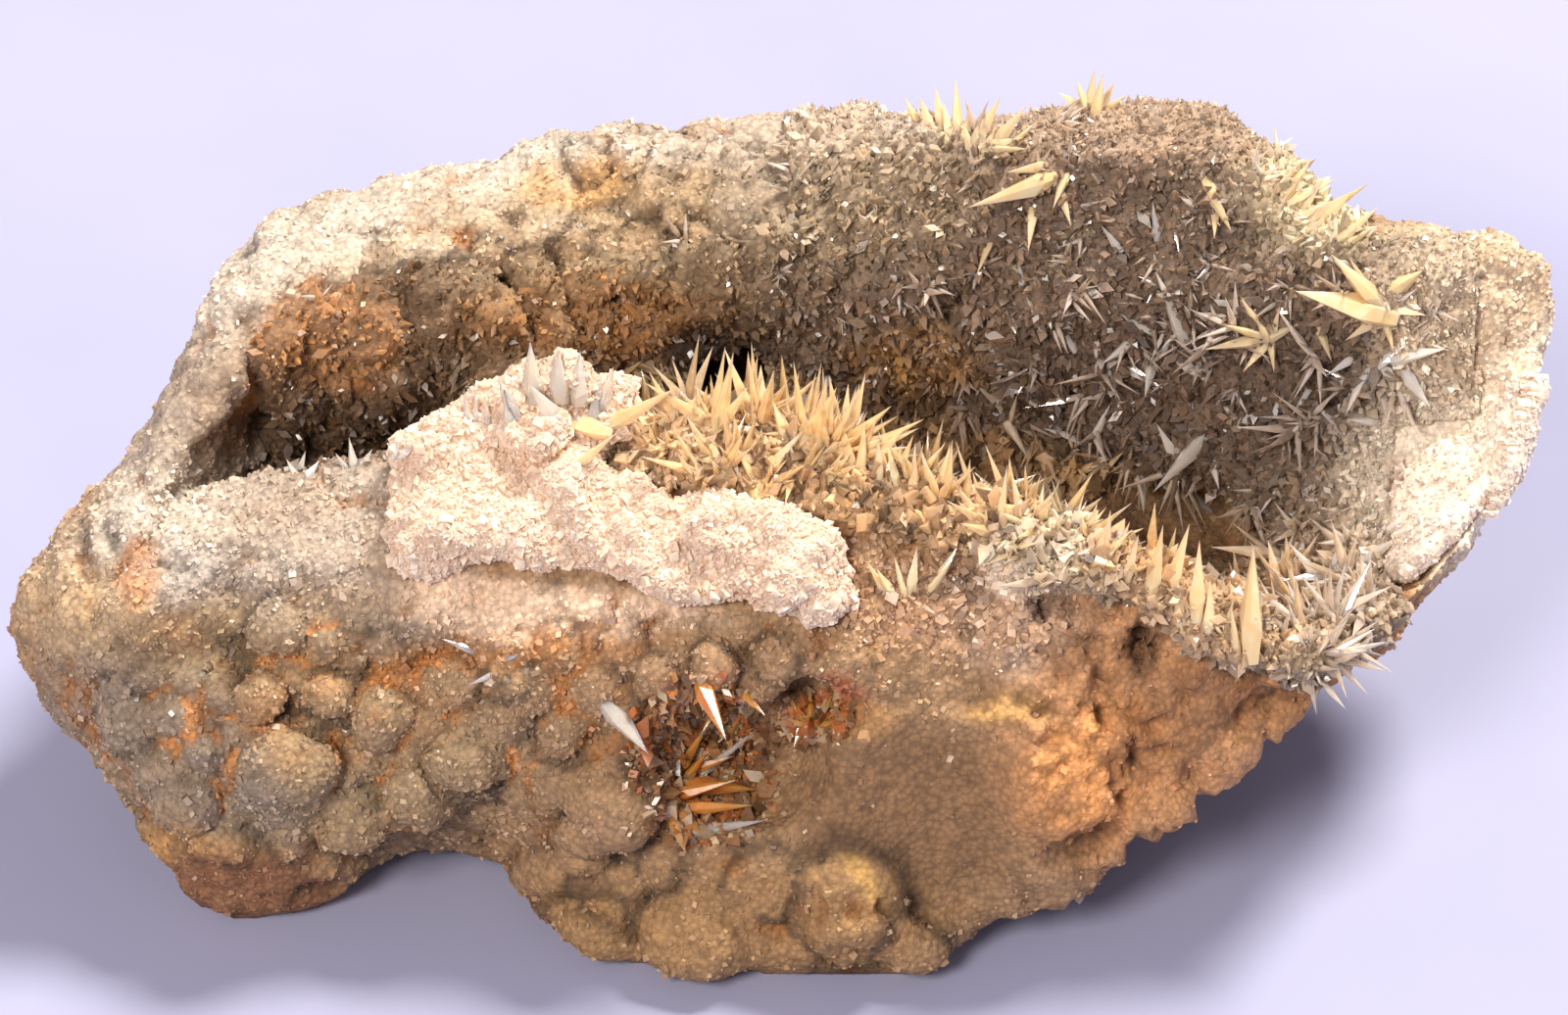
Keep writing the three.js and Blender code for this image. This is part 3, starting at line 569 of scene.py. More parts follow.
class NodeSheet:
    """A material's nodes, made in reading order."""

    def __init__(self, name: str) -> None:
        """Starts an empty material.

        Args:
            name: Name of the material.
        """
        self.material = bpy.data.materials.new(name)
        self.material.use_nodes = True
        self.tree = self.material.node_tree
        self.tree.nodes.clear()
        self.output = self.tree.nodes.new("ShaderNodeOutputMaterial")
        self.place = self.tree.nodes.new("ShaderNodeTexCoord").outputs["Object"]

    def node(self, kind: str, inputs: Optional[Dict] = None, **settings: object) -> bpy.types.Node:
        """Adds a node.

        Args:
            kind: Type of the node.
            inputs: Values or sockets by input name or number.
            **settings: Properties of the node.

        Returns:
            The node.
        """
        made = self.tree.nodes.new(kind)
        for key, value in settings.items():
            setattr(made, key, value)
        for key, value in (inputs or {}).items():
            if isinstance(value, bpy.types.NodeSocket):
                self.tree.links.new(value, made.inputs[key])
            else:
                made.inputs[key].default_value = value
        return made

    def noise(self, size: float, detail: float = 4.0, roughness: float = 0.6) -> bpy.types.NodeSocket:
        """Noise of 0 to 1 over the object's own coordinates, its largest blots of the size in mm."""
        inputs = {"Vector": self.place, "Scale": 1000.0 / size, "Detail": detail, "Roughness": roughness}
        return self.node("ShaderNodeTexNoise", inputs).outputs[0]

    def grains(self, size: float) -> bpy.types.NodeSocket:
        """Distance to the middle of a crystal grain, whose mean width is the size in mm."""
        inputs = {"Vector": self.place, "Scale": 1000.0 / size}
        return self.node("ShaderNodeTexVoronoi", inputs).outputs["Distance"]

    def ramp(self, factor: bpy.types.NodeSocket, low: float, high: float) -> bpy.types.NodeSocket:
        """Maps noise from 0.25..0.75 to the span from low to high."""
        inputs = {"Value": factor, "From Min": 0.25, "From Max": 0.75, "To Min": low, "To Max": high}
        return self.node("ShaderNodeMapRange", inputs).outputs[0]

    def mixed(self, kind: str, factor: Input, one: Input, two: Input) -> bpy.types.NodeSocket:
        """Mixes two colours, values or sockets, by the blend type and the share given."""
        made = self.node("ShaderNodeMix", {0: factor, 6: one, 7: two}, data_type="RGBA", blend_type=kind)
        return made.outputs[2]

    def bump(
        self, height: Input, strength: float, depth: float, below: Optional[Input] = None
    ) -> bpy.types.NodeSocket:
        """Fine relief for the light only.

        Args:
            height: Socket of the height.
            strength: Share of the relief, 0 to 1.
            depth: Depth of the relief in mm.
            below: A coarser relief under it, or None.

        Returns:
            The socket of the bent normal.
        """
        inputs = {"Height": height, "Strength": strength, "Distance": depth * METRES_PER_MM}
        if below is not None:
            inputs["Normal"] = below
        return self.node("ShaderNodeBump", inputs).outputs[0]

    def tint(self) -> bpy.types.NodeSocket:
        """The colour kept on the points, in the attribute named tint."""
        return self.node("ShaderNodeAttribute", attribute_name="tint").outputs["Color"]

    def surface(self, **inputs: Input) -> bpy.types.Material:
        """Ends the material with a principled surface.

        Args:
            **inputs: Values or sockets by input name, with _ for a space.

        Returns:
            The material.
        """
        named = {key.replace("_", " "): value for key, value in inputs.items()}
        shader = self.node("ShaderNodeBsdfPrincipled", named)
        self.tree.links.new(shader.outputs[0], self.output.inputs["Surface"])
        return self.material


@dataclass(frozen=True)
class RockFinish:
    """Dull, iron-stained rock with a gritty crystalline skin."""

    name: str = "iron_stained_rock"
    roughness: float = 0.82
    grain: float = 0.55
    sparkle: float = 0.45

    def make(self) -> bpy.types.Material:
        """Makes the finish.

        Returns:
            The material: the points' tint, mottled at two sizes, over a grain of two sizes.
        """
        sheet = NodeSheet(self.name)
        mottle = sheet.ramp(sheet.noise(1.6, 6.0, 0.7), 0.62, 1.38)
        speck = sheet.ramp(sheet.grains(self.grain), 1.22, 0.8)
        grey = sheet.node("ShaderNodeMath", {0: mottle, 1: speck}, operation="MULTIPLY").outputs[0]
        shade = sheet.node("ShaderNodeCombineColor", {0: grey, 1: grey, 2: grey}).outputs[0]
        colour = sheet.mixed("MULTIPLY", 1.0, sheet.tint(), shade)
        coarse = sheet.bump(sheet.noise(1.1, 8.0, 0.72), 0.9, 0.5)
        fine = sheet.bump(sheet.grains(self.grain), 0.7, 0.22, coarse)
        gloss = sheet.ramp(sheet.noise(0.5, 2.0), self.roughness - 0.35, self.roughness + 0.12)
        return sheet.surface(
            Base_Color=colour, Roughness=gloss, IOR=1.5, Specular_IOR_Level=self.sparkle, Normal=fine
        )


@dataclass(frozen=True)
class DruseFinish:
    """Small calcite crystals, glinting and partly see-through."""

    name: str
    roughness: float
    clearness: float
    glow: float = 0.0

    def make(self) -> bpy.types.Material:
        """Makes the finish.

        Returns:
            The material: the points' tint, mottled, with plain transmission and index of refraction.
        """
        sheet = NodeSheet(self.name)
        grey = sheet.ramp(sheet.noise(0.9, 3.0), 0.8, 1.25)
        shade = sheet.node("ShaderNodeCombineColor", {0: grey, 1: grey, 2: grey}).outputs[0]
        colour = sheet.mixed("MULTIPLY", 1.0, sheet.tint(), shade)
        gloss = sheet.ramp(sheet.noise(0.7, 2.0), self.roughness * 0.6, self.roughness * 1.6)
        return sheet.surface(
            Base_Color=colour,
            Roughness=gloss,
            IOR=1.6,
            Specular_IOR_Level=0.6,
            Transmission_Weight=self.clearness,
            Subsurface_Weight=self.glow,
            Subsurface_Radius=(1.0, 0.85, 0.6),
            Subsurface_Scale=0.0012,
        )


@dataclass(frozen=True)
class ClearFinish:
    """A clear calcite spike: plain transmission, index of refraction and absorption."""

    name: str
    skin: Colour
    skin_deep: Colour
    absorption: Colour
    density: float
    roughness: float
    transmission: float
    glow: float = 0.9

    def make(self) -> bpy.types.Material:
        """Makes the finish.

        Returns:
            The material: a nearly clear skin that varies a little, round an absorbing body.
        """
        sheet = NodeSheet(self.name)
        factor = sheet.ramp(sheet.noise(2.2, 3.0), 0.0, 1.0)
        colour = sheet.mixed("MIX", factor, (*self.skin, 1.0), (*self.skin_deep, 1.0))
        gloss = sheet.ramp(sheet.noise(0.6, 2.0), self.roughness * 0.5, self.roughness * 2.0)
        made = sheet.surface(
            Base_Color=colour,
            Roughness=gloss,
            IOR=1.6,
            Specular_IOR_Level=0.5,
            Transmission_Weight=self.transmission,
            Subsurface_Weight=self.glow,
            Subsurface_Radius=(1.0, 0.85, 0.6),
            Subsurface_Scale=0.0015,
        )
        absorbed = {"Color": (*self.absorption, 1.0), "Density": self.density}
        body = sheet.node("ShaderNodeVolumeAbsorption", absorbed)
        sheet.tree.links.new(body.outputs[0], sheet.output.inputs["Volume"])
        return made


@dataclass(frozen=True)
class WhiteFinish:
    """White calcite, sugary or massive, that light enters a little way."""

    name: str
    light: Colour
    shaded: Colour
    stain: Colour
    stain_share: float
    grain: float
    roughness: float

    def make(self) -> bpy.types.Material:
        """Makes the finish.

        Returns:
            The material: two whites in soft blots, rare stains, fine grain and a short glow inside.
        """
        sheet = NodeSheet(self.name)
        blots = sheet.ramp(sheet.noise(3.5, 4.0), 0.0, 1.0)
        whites = sheet.mixed("MIX", blots, (*self.light, 1.0), (*self.shaded, 1.0))
        peaks = {
            "Value": sheet.noise(1.7, 5.0, 0.7),
            "From Min": 0.62,
            "From Max": 0.78,
            "To Max": self.stain_share,
        }
        rare = sheet.node("ShaderNodeMapRange", peaks).outputs[0]
        colour = sheet.mixed("MIX", rare, whites, (*self.stain, 1.0))
        coarse = sheet.bump(sheet.noise(0.9, 5.0, 0.65), 0.6, 0.3)
        fine = sheet.bump(sheet.grains(self.grain), 0.6, 0.16, coarse)
        gloss = sheet.ramp(sheet.noise(0.5, 2.0), self.roughness * 0.6, self.roughness * 1.4)
        return sheet.surface(
            Base_Color=colour,
            Roughness=gloss,
            IOR=1.58,
            Specular_IOR_Level=0.5,
            Subsurface_Weight=0.5,
            Subsurface_Radius=(1.0, 0.8, 0.65),
            Subsurface_Scale=0.002,
            Normal=fine,
        )


@dataclass(frozen=True)
class TableFinish:
    """Pale matt paper."""

    name: str = "pale_table"
    light: Colour = linear(158, 158, 182)
    dark: Colour = linear(151, 152, 178)

    def make(self) -> bpy.types.Material:
        """Makes the finish.

        Returns:
            The material: two close pale tones in wide soft blots.
        """
        sheet = NodeSheet(self.name)
        factor = sheet.ramp(sheet.noise(60.0, 3.0), 0.0, 1.0)
        colour = sheet.mixed("MIX", factor, (*self.light, 1.0), (*self.dark, 1.0))
        return sheet.surface(Base_Color=colour, Roughness=0.9, IOR=1.45, Specular_IOR_Level=0.2)


CREAM = linear(208, 194, 176)
PALE_TAN = linear(196, 168, 130)
TAN = linear(160, 126, 90)
BROWN = linear(128, 96, 64)
# Painted shade: a dark brown laid into recesses, gaps, the pocket and the trough floor, where shade falls.
PAINTED_SHADE_BROWN = linear(74, 50, 32)
# Painted shadow: near black laid into the cave of the hollow.
PAINTED_CAVE_SHADOW = linear(34, 24, 18)
OCHRE = linear(206, 150, 74)
ORANGE = linear(204, 134, 68)
RUST = linear(164, 72, 26)
GREY = linear(160, 150, 142)
# Painted shade: the cool blue-grey of shaded lower sides.
BLUE_GREY_SHADE = linear(128, 118, 118)
YELLOW_OCHRE = linear(222, 176, 92)
WALL_GREY = linear(154, 136, 114)
# Painted shade: the darker brown of the deep right wall and trough of the hollow.
PAINTED_WALL_SHADE = linear(92, 74, 62)
HONEY_TAN = linear(220, 178, 130)


class RockBody:
    """The host rock: broken, lumpy and iron-stained, with the hollow in its top and a pocket in its front."""

    EVERYWHERE = Zone(800, 518, 4000, 4000)
    RELIEFS = (
        Relief("soft swells everywhere", EVERYWHERE, Form.GRAIN, 9.0, 0.8, 11),
        Relief("small globules everywhere", EVERYWHERE, Form.GLOBULES, 3.2, 0.7, 12),
        Relief("grit everywhere", EVERYWHERE, Form.GRAIN, 1.8, 0.4, 13),
        Relief("large globules of the left front", Zone(290, 750, 260, 130), Form.GLOBULES, 5.4, 0.9, 14),
        Relief("small globules of the left front", Zone(300, 755, 250, 130), Form.GLOBULES, 2.4, 0.7, 15),
        Relief("knobs round the pocket", Zone(600, 830, 150, 150), Form.GLOBULES, 3.4, 0.9, 16),
        Relief("knobs over the pocket", Zone(620, 670, 250, 60), Form.GLOBULES, 3.0, 1.0, 17),
        Relief("crags of the left crest", Zone(470, 230, 330, 90, -14), Form.CRAGS, 4.5, 0.7, 18),
        Relief("crags of the left wall", Zone(470, 350, 320, 110, -12), Form.CRAGS, 3.4, 1.3, 19),
        Relief("globules of the left wall", Zone(600, 290, 220, 80, -6), Form.GLOBULES, 3.2, 1.2, 25),
        Relief("crags of the left tip", Zone(100, 620, 90, 90), Form.CRAGS, 3.2, 0.8, 20),
        Relief("crags of the orange face", Zone(1190, 730, 170, 190, -40), Form.CRAGS, 6.5, 1.6, 21),
        Relief("chips of the orange face", Zone(1190, 730, 170, 190, -40), Form.CRAGS, 2.4, 0.8, 26),
        Relief("broken base", Zone(740, 940, 240, 70), Form.GLOBULES, 2.8, 1.0, 22),
        Relief("rough base", Zone(740, 940, 240, 70), Form.CRAGS, 3.0, 0.8, 27),
        Relief("broken left foot", Zone(270, 900, 130, 50), Form.CRAGS, 3.6, 0.6, 23),
        Relief("pits of the back crest", Zone(650, 170, 150, 50), Form.CRAGS, 2.4, 0.8, 24),
    )
    KNOBS = (
        Knobs("globules of the left front", (
            (291, 776, 48, 2.6), (264, 705, 24, 1.8), (283, 640, 30, 1.6), (334, 708, 24, 1.4),
            (389, 724, 32, 1.9), (482, 766, 38, 1.6), (423, 806, 36, 2.0), (357, 837, 34, 1.4),
            (300, 826, 38, 1.3), (166, 786, 26, 1.6), (196, 820, 32, 1.7), (230, 850, 28, 1.4),
            (374, 765, 28, 1.1), (226, 700, 20, 1.2), (240, 745, 22, 1.2), (132, 738, 30, 1.2),
            (330, 655, 22, 1.2), (440, 740, 24, 1.3), (460, 700, 28, 1.2), (515, 735, 24, 1.2),
            (352, 790, 18, 1.0), (250, 812, 18, 1.0), (206, 768, 20, 1.1), (420, 770, 20, 1.0),
            (300, 690, 16, 0.9), (175, 730, 22, 1.0), (118, 700, 20, 0.9), (395, 660, 20, 0.9),
            (545, 700, 26, 1.2), (575, 745, 26, 1.1),
        )),
        Knobs("knobs round the pocket", (
            (624, 814, 46, 1.9), (600, 862, 28, 1.5), (634, 910, 30, 1.4), (590, 850, 22, 1.2),
            (570, 800, 26, 1.2), (650, 760, 18, 1.0), (555, 890, 28, 1.3), (675, 880, 26, 1.2),
            (610, 700, 24, 1.1), (670, 690, 24, 1.1), (570, 660, 26, 1.1), (640, 655, 22, 1.0),
            (730, 680, 24, 1.0), (790, 668, 24, 1.0), (520, 690, 22, 1.0),
        )),
        Knobs("lumps of the base", (
            (717, 950, 60, 0.9), (867, 925, 62, 0.2), (600, 950, 42, 0.7), (930, 972, 36, 0.7),
            (790, 975, 40, 0.6), (660, 975, 34, 0.6), (780, 900, 34, 0.6), (720, 890, 28, 0.5),
        )),
        Knobs("globules of the back ridge", (
            (745, 215, 20, 1.3), (775, 242, 20, 1.2), (716, 240, 18, 1.1), (690, 225, 18, 1.0),
            (730, 262, 18, 1.0), (660, 250, 22, 1.1), (620, 262, 20, 1.0), (580, 250, 20, 0.9),
            (640, 160, 24, 1.2), (600, 170, 20, 1.0), (680, 150, 20, 1.0), (540, 275, 20, 0.9),
            (500, 262, 22, 0.9), (460, 290, 22, 0.9), (420, 300, 20, 0.9),
        )),
    )
    SMOOTH_FACE = Zone(930, 835, 120, 85, 10)

    STAINS_AND_SHADES = (
        StainOrShade("tan front", Zone(800, 800, 900, 330), TAN, 0.7, 0.2),
        StainOrShade("cream crest on the left", Zone(400, 240, 260, 75, -18), CREAM, 0.85, 0.25, 5.0),
        StainOrShade("cream crest top", Zone(720, 140, 330, 45, -6), CREAM, 0.6, 0.35, 4.0),
        StainOrShade("cream left edge", Zone(210, 400, 60, 190, 32), CREAM, 0.85, 0.15, 4.0),
        StainOrShade("tan band under the crest", Zone(560, 260, 260, 60, -8), PALE_TAN, 0.7, 0.4),
        StainOrShade("brown left wall", Zone(480, 370, 330, 105, -10), BROWN, 0.8, 0.35),
        StainOrShade("grey-brown right of the crest", Zone(790, 215, 60, 75), WALL_GREY, 0.75, 0.3),
        StainOrShade("orange at the wall's left", Zone(345, 345, 75, 50), ORANGE, 0.8, 0.5, 2.2),
        StainOrShade("orange under the crest", Zone(590, 320, 120, 45), OCHRE, 0.6, 0.6, 2.4),
        StainOrShade("ochre on the crest", Zone(600, 195, 60, 30), OCHRE, 0.6, 0.5),
        # Painted shadow: the dark cave.
        StainOrShade("dark cave", Zone(740, 375, 70, 45), PAINTED_CAVE_SHADOW, 0.85, 0.1),
        # Painted shade: the dark trough floor and the dark end of the trough.
        StainOrShade("dark trough floor", Zone(560, 430, 330, 45, -6), PAINTED_SHADE_BROWN, 0.75, 0.25),
        StainOrShade("dark end of the trough", Zone(240, 455, 60, 30), BROWN, 0.7, 0.3),
        StainOrShade("pale band of the lip", Zone(270, 535, 220, 62, -8), linear(186, 170, 152), 0.85, 0.25, 3.5),
        StainOrShade("cream lip at the far left", Zone(150, 545, 70, 60, -35), CREAM, 0.8, 0.3),
        StainOrShade("pale tip", Zone(75, 620, 60, 60), PALE_TAN, 0.7, 0.4),
        StainOrShade("orange recess of the tip", Zone(128, 580, 18, 36, 15), ORANGE, 0.75, 0.3, 1.6),
        # Painted shade: blue-grey on the tip's lower side.
        StainOrShade("blue-grey of the tip", Zone(90, 715, 60, 60), BLUE_GREY_SHADE, 0.6, 0.45),
        StainOrShade("grey shoulder", Zone(310, 610, 190, 40, 10), GREY, 0.6, 0.4),
        StainOrShade("grey-brown left front", Zone(300, 745, 250, 130), linear(152, 130, 98), 0.8, 0.3, 4.0),
        # Painted shade: blue-grey beside the lumps.
        StainOrShade("blue-grey by the lumps", Zone(190, 770, 120, 70, 35), linear(136, 122, 110), 0.6, 0.45, 3.0),
        StainOrShade("orange of the left front", Zone(350, 715, 130, 60), ORANGE, 0.35, 0.85, 2.0),
        StainOrShade("ochre foot edge", Zone(220, 880, 80, 22, 8), OCHRE, 0.6, 0.6, 2.0),
        StainOrShade("red-brown foot", Zone(250, 910, 110, 34, 6), linear(136, 90, 60), 0.85, 0.2),
        StainOrShade("grey-brown over the pocket", Zone(600, 690, 220, 60), linear(158, 126, 92), 0.6, 0.4),
        StainOrShade("crust under the shelf", Zone(560, 622, 165, 26, 5), linear(236, 204, 172), 0.9, 0.15, 2.0),
        StainOrShade("orange specks under the shelf", Zone(560, 660, 130, 22), ORANGE, 0.5, 0.75, 1.4),
        # Painted shade: the dark pocket.
        StainOrShade("dark pocket", Zone(715, 775, 75, 65), PAINTED_SHADE_BROWN, 0.8, 0.2, 2.0),
        StainOrShade("rust in the pocket", Zone(730, 760, 60, 70), RUST, 0.35, 0.7, 1.6),
        StainOrShade("rust clump beside the pocket", Zone(832, 728, 42, 30), RUST, 0.8, 0.4, 1.4),
        StainOrShade("ochre right of the pocket", Zone(850, 740, 60, 20), OCHRE, 0.5, 0.5, 1.5),
        StainOrShade("smooth face", Zone(935, 835, 130, 90, 10), linear(134, 100, 66), 0.85, 0.15, 6.0),
        StainOrShade("base", Zone(740, 940, 230, 60), linear(160, 122, 76), 0.7, 0.3, 4.0),
        StainOrShade("ochre rim of the base", Zone(888, 898, 40, 10, 42), YELLOW_OCHRE, 0.45, 0.5, 1.5),
        StainOrShade("orange face", Zone(1180, 740, 160, 150, -40), linear(206, 150, 100), 0.85, 0.3, 3.0),
        StainOrShade("bright orange of the face", Zone(1110, 780, 60, 90, 30), linear(220, 150, 84), 0.7, 0.5, 2.0),
        StainOrShade("brown streak of the face", Zone(1225, 700, 40, 130, 52), linear(116, 76, 46), 0.65, 0.55, 1.6),
        StainOrShade("brown streak at the crease", Zone(1070, 640, 55, 60), linear(136, 100, 72), 0.6, 0.5, 2.0),
        # Painted shade: the dark recess of the face.
        StainOrShade("dark recess of the face", Zone(1168, 657, 22, 30), PAINTED_SHADE_BROWN, 0.7, 0.3, 1.4),
        StainOrShade("yellow ochre shelf", Zone(1016, 721, 38, 18, -8), linear(208, 160, 92), 0.7, 0.4, 1.4),
        StainOrShade("grey patches of the face", Zone(1030, 620, 60, 60), GREY, 0.6, 0.5, 1.6),
        StainOrShade("druse right of the shelf", Zone(970, 610, 140, 55, 6), linear(184, 144, 110), 0.75, 0.45, 2.0),
        StainOrShade("pale patch of the lip", Zone(1066, 572, 46, 34), linear(242, 222, 200), 0.85, 0.2, 1.6),
        # Painted shade: the dark gully.
        StainOrShade("dark gully", Zone(935, 582, 56, 14, 4), PAINTED_SHADE_BROWN, 0.6, 0.3, 1.6),
        StainOrShade("underside on the right", Zone(1390, 660, 110, 40, -40), linear(186, 122, 66), 0.75, 0.4),
        StainOrShade("cream right end", Zone(1500, 320, 120, 125), linear(208, 184, 154), 0.9, 0.25, 2.5),
        StainOrShade("pale right edge", Zone(1545, 440, 60, 120, 20), linear(236, 222, 200), 0.8, 0.2),
        StainOrShade("tan under the right end", Zone(1470, 560, 60, 50, -40), PALE_TAN, 0.7, 0.3),
        StainOrShade("cream round the white patch", Zone(1470, 485, 100, 90), linear(242, 226, 204), 0.95, 0.1),
    )

    def __init__(self, node: bpy.types.Object, view: DisplayView, voxel: float) -> None:
        """Keeps what the rock is made from.

        Args:
            node: The CAD node of the host rock.
            view: The display view.
            voxel: Edge of a surface face in mm.
        """
        self.node = node
        self.view = view
        self.voxel = voxel
        self.surface: Optional[Surface] = None
        self.crease: Optional[np.ndarray] = None
        self.gaps: Optional[np.ndarray] = None

    def facing(self) -> np.ndarray:
        """Cosine between each point's normal and the direction to the viewer."""
        return self.surface.normals() @ self.view.back

    def build(self) -> "RockBody":
        """Shapes the rock's skin.

        Returns:
            The rock itself. Each point moves along its normal by the sum of the reliefs of its zones; points
            near the table move less, so that the rock still rests on its flat spots.
        """
        rough = Surface.of_node(self.node, self.voxel)
        low = rough.points[:, 2] < 0.35
        eased = rough.spread(rough.points, 7, 0.5)
        eased[low] = rough.points[low]
        self.surface = Surface(eased, rough.faces)
        normals = self.surface.normals()
        points = self.surface.points
        seen = self.view.seen_at(points)
        facing = normals @ self.view.back
        front = smoothstep(-0.5, 0.1, facing)
        calm = 1.0 - 0.85 * self.SMOOTH_FACE.weight(seen) * front
        lift = np.zeros(len(points))
        crease = np.zeros(len(points))
        for relief in self.RELIEFS:
            everywhere = relief.zone is self.EVERYWHERE
            share = relief.zone.weight(seen)
            if not everywhere:
                share = share * front
            near = share > 1e-3
            if not near.any():
                continue
            shape = np.zeros(len(points))
            shape[near] = relief.shape(points[near])
            grown = relief.height * (1.0 + 0.8 * (1.0 - front) if everywhere else 1.0)
            lift += share * grown * shape
            if relief.form is not Form.GRAIN:
                crease += share * relief.height * np.clip(0.15 - shape, 0.0, 1.0)
        lift *= calm
        self.crease = crease * calm
        self.gaps = np.zeros(len(points))
        ahead = smoothstep(0.0, 0.35, facing)
        bent = seen + 9.0 * np.stack([Noise.layered(points, 3.2, 3, seed) for seed in (61, 62)], axis=1)
        for knobs in self.KNOBS:
            height, gap = knobs.lift(bent)
            lift = lift * (1.0 - 0.55 * smoothstep(0.0, 0.5, height)) + ahead * height
            self.crease *= 1.0 - ahead * smoothstep(0.2, 0.8, height)
            self.gaps = np.maximum(self.gaps, ahead * gap)
        lift *= smoothstep(0.2, 3.0, points[:, 2])
        moved = points + normals * lift[:, None]
        moved[low] = points[low]
        moved[:, 2] = np.maximum(moved[:, 2], 0.0)
        self.surface = Surface(moved, self.surface.faces)
        LOG.info("rock: %d faces", len(self.surface.faces))
        return self

    def colours(self) -> np.ndarray:
        """The rock's colours, patch by patch, with painted shade in its creases and round the lumps' feet,
        partly rust-orange.

        Returns:
            One linear colour per point.
        """
        facing = self.facing()
        points = self.surface.points
        base = ColourPatchMap(TAN, self.STAINS_AND_SHADES, self.view).colours(points, facing, 100)
        broad = Noise.layered(points, 14.0, 4, 71)[:, None]
        hidden = (1.0 - smoothstep(-0.45, 0.05, facing))[:, None]
        weathered = np.where(broad > 0.0, np.array(PALE_TAN), np.array(BROWN))
        base = base * (1.0 - hidden * np.abs(broad)) + weathered * hidden * np.abs(broad)
        for seed, tone in ((72, OCHRE), (73, GREY), (74, RUST), (75, CREAM)):
            patch = smoothstep(0.15, 0.6, Noise.layered(points, 9.0, 4, seed))[:, None] * 0.5 * hidden
            base = base * (1.0 - patch) + np.array(tone) * patch
        # Painted shade in the creases: darkened by crease depth; where the noise is rusty the crease takes a
        # darker rust-orange, iron stain as well as shade.
        deep = 0.85 * smoothstep(0.08, 0.75, self.crease)[:, None]
        rusty = smoothstep(-0.25, 0.35, Noise.layered(points, 7.0, 2, 91))[:, None]
        shade = base * 0.42 * (1.0 - rusty) + np.array(ORANGE) * 0.55 * rusty
        base = base * (1.0 - deep) + shade * deep
        near_lumps = Zone(360, 740, 260, 130).weight(self.view.seen_at(points))
        iron = smoothstep(-0.2, 0.3, Noise.layered(points, 3.6, 3, 93)) * near_lumps
        # Round the lumps' feet: orange iron stain near the lumps, and painted shade (the rock darkened to
        # 0.35) elsewhere.
        filled = self.gaps * 0.9
        gap = np.array(ORANGE) * iron[:, None] + base * 0.35 * (1.0 - iron)[:, None]
        return base * (1.0 - filled)[:, None] + gap * filled[:, None]

    def dress(self, finish: RockFinish) -> bpy.types.Object:
        """Makes the rock's object.

        Args:
            finish: The rock's finish.

        Returns:
            The object.
        """
        made = self.surface.to_object("rock_skin", True, self.colours())
        made.data.materials.append(finish.make())
        return made


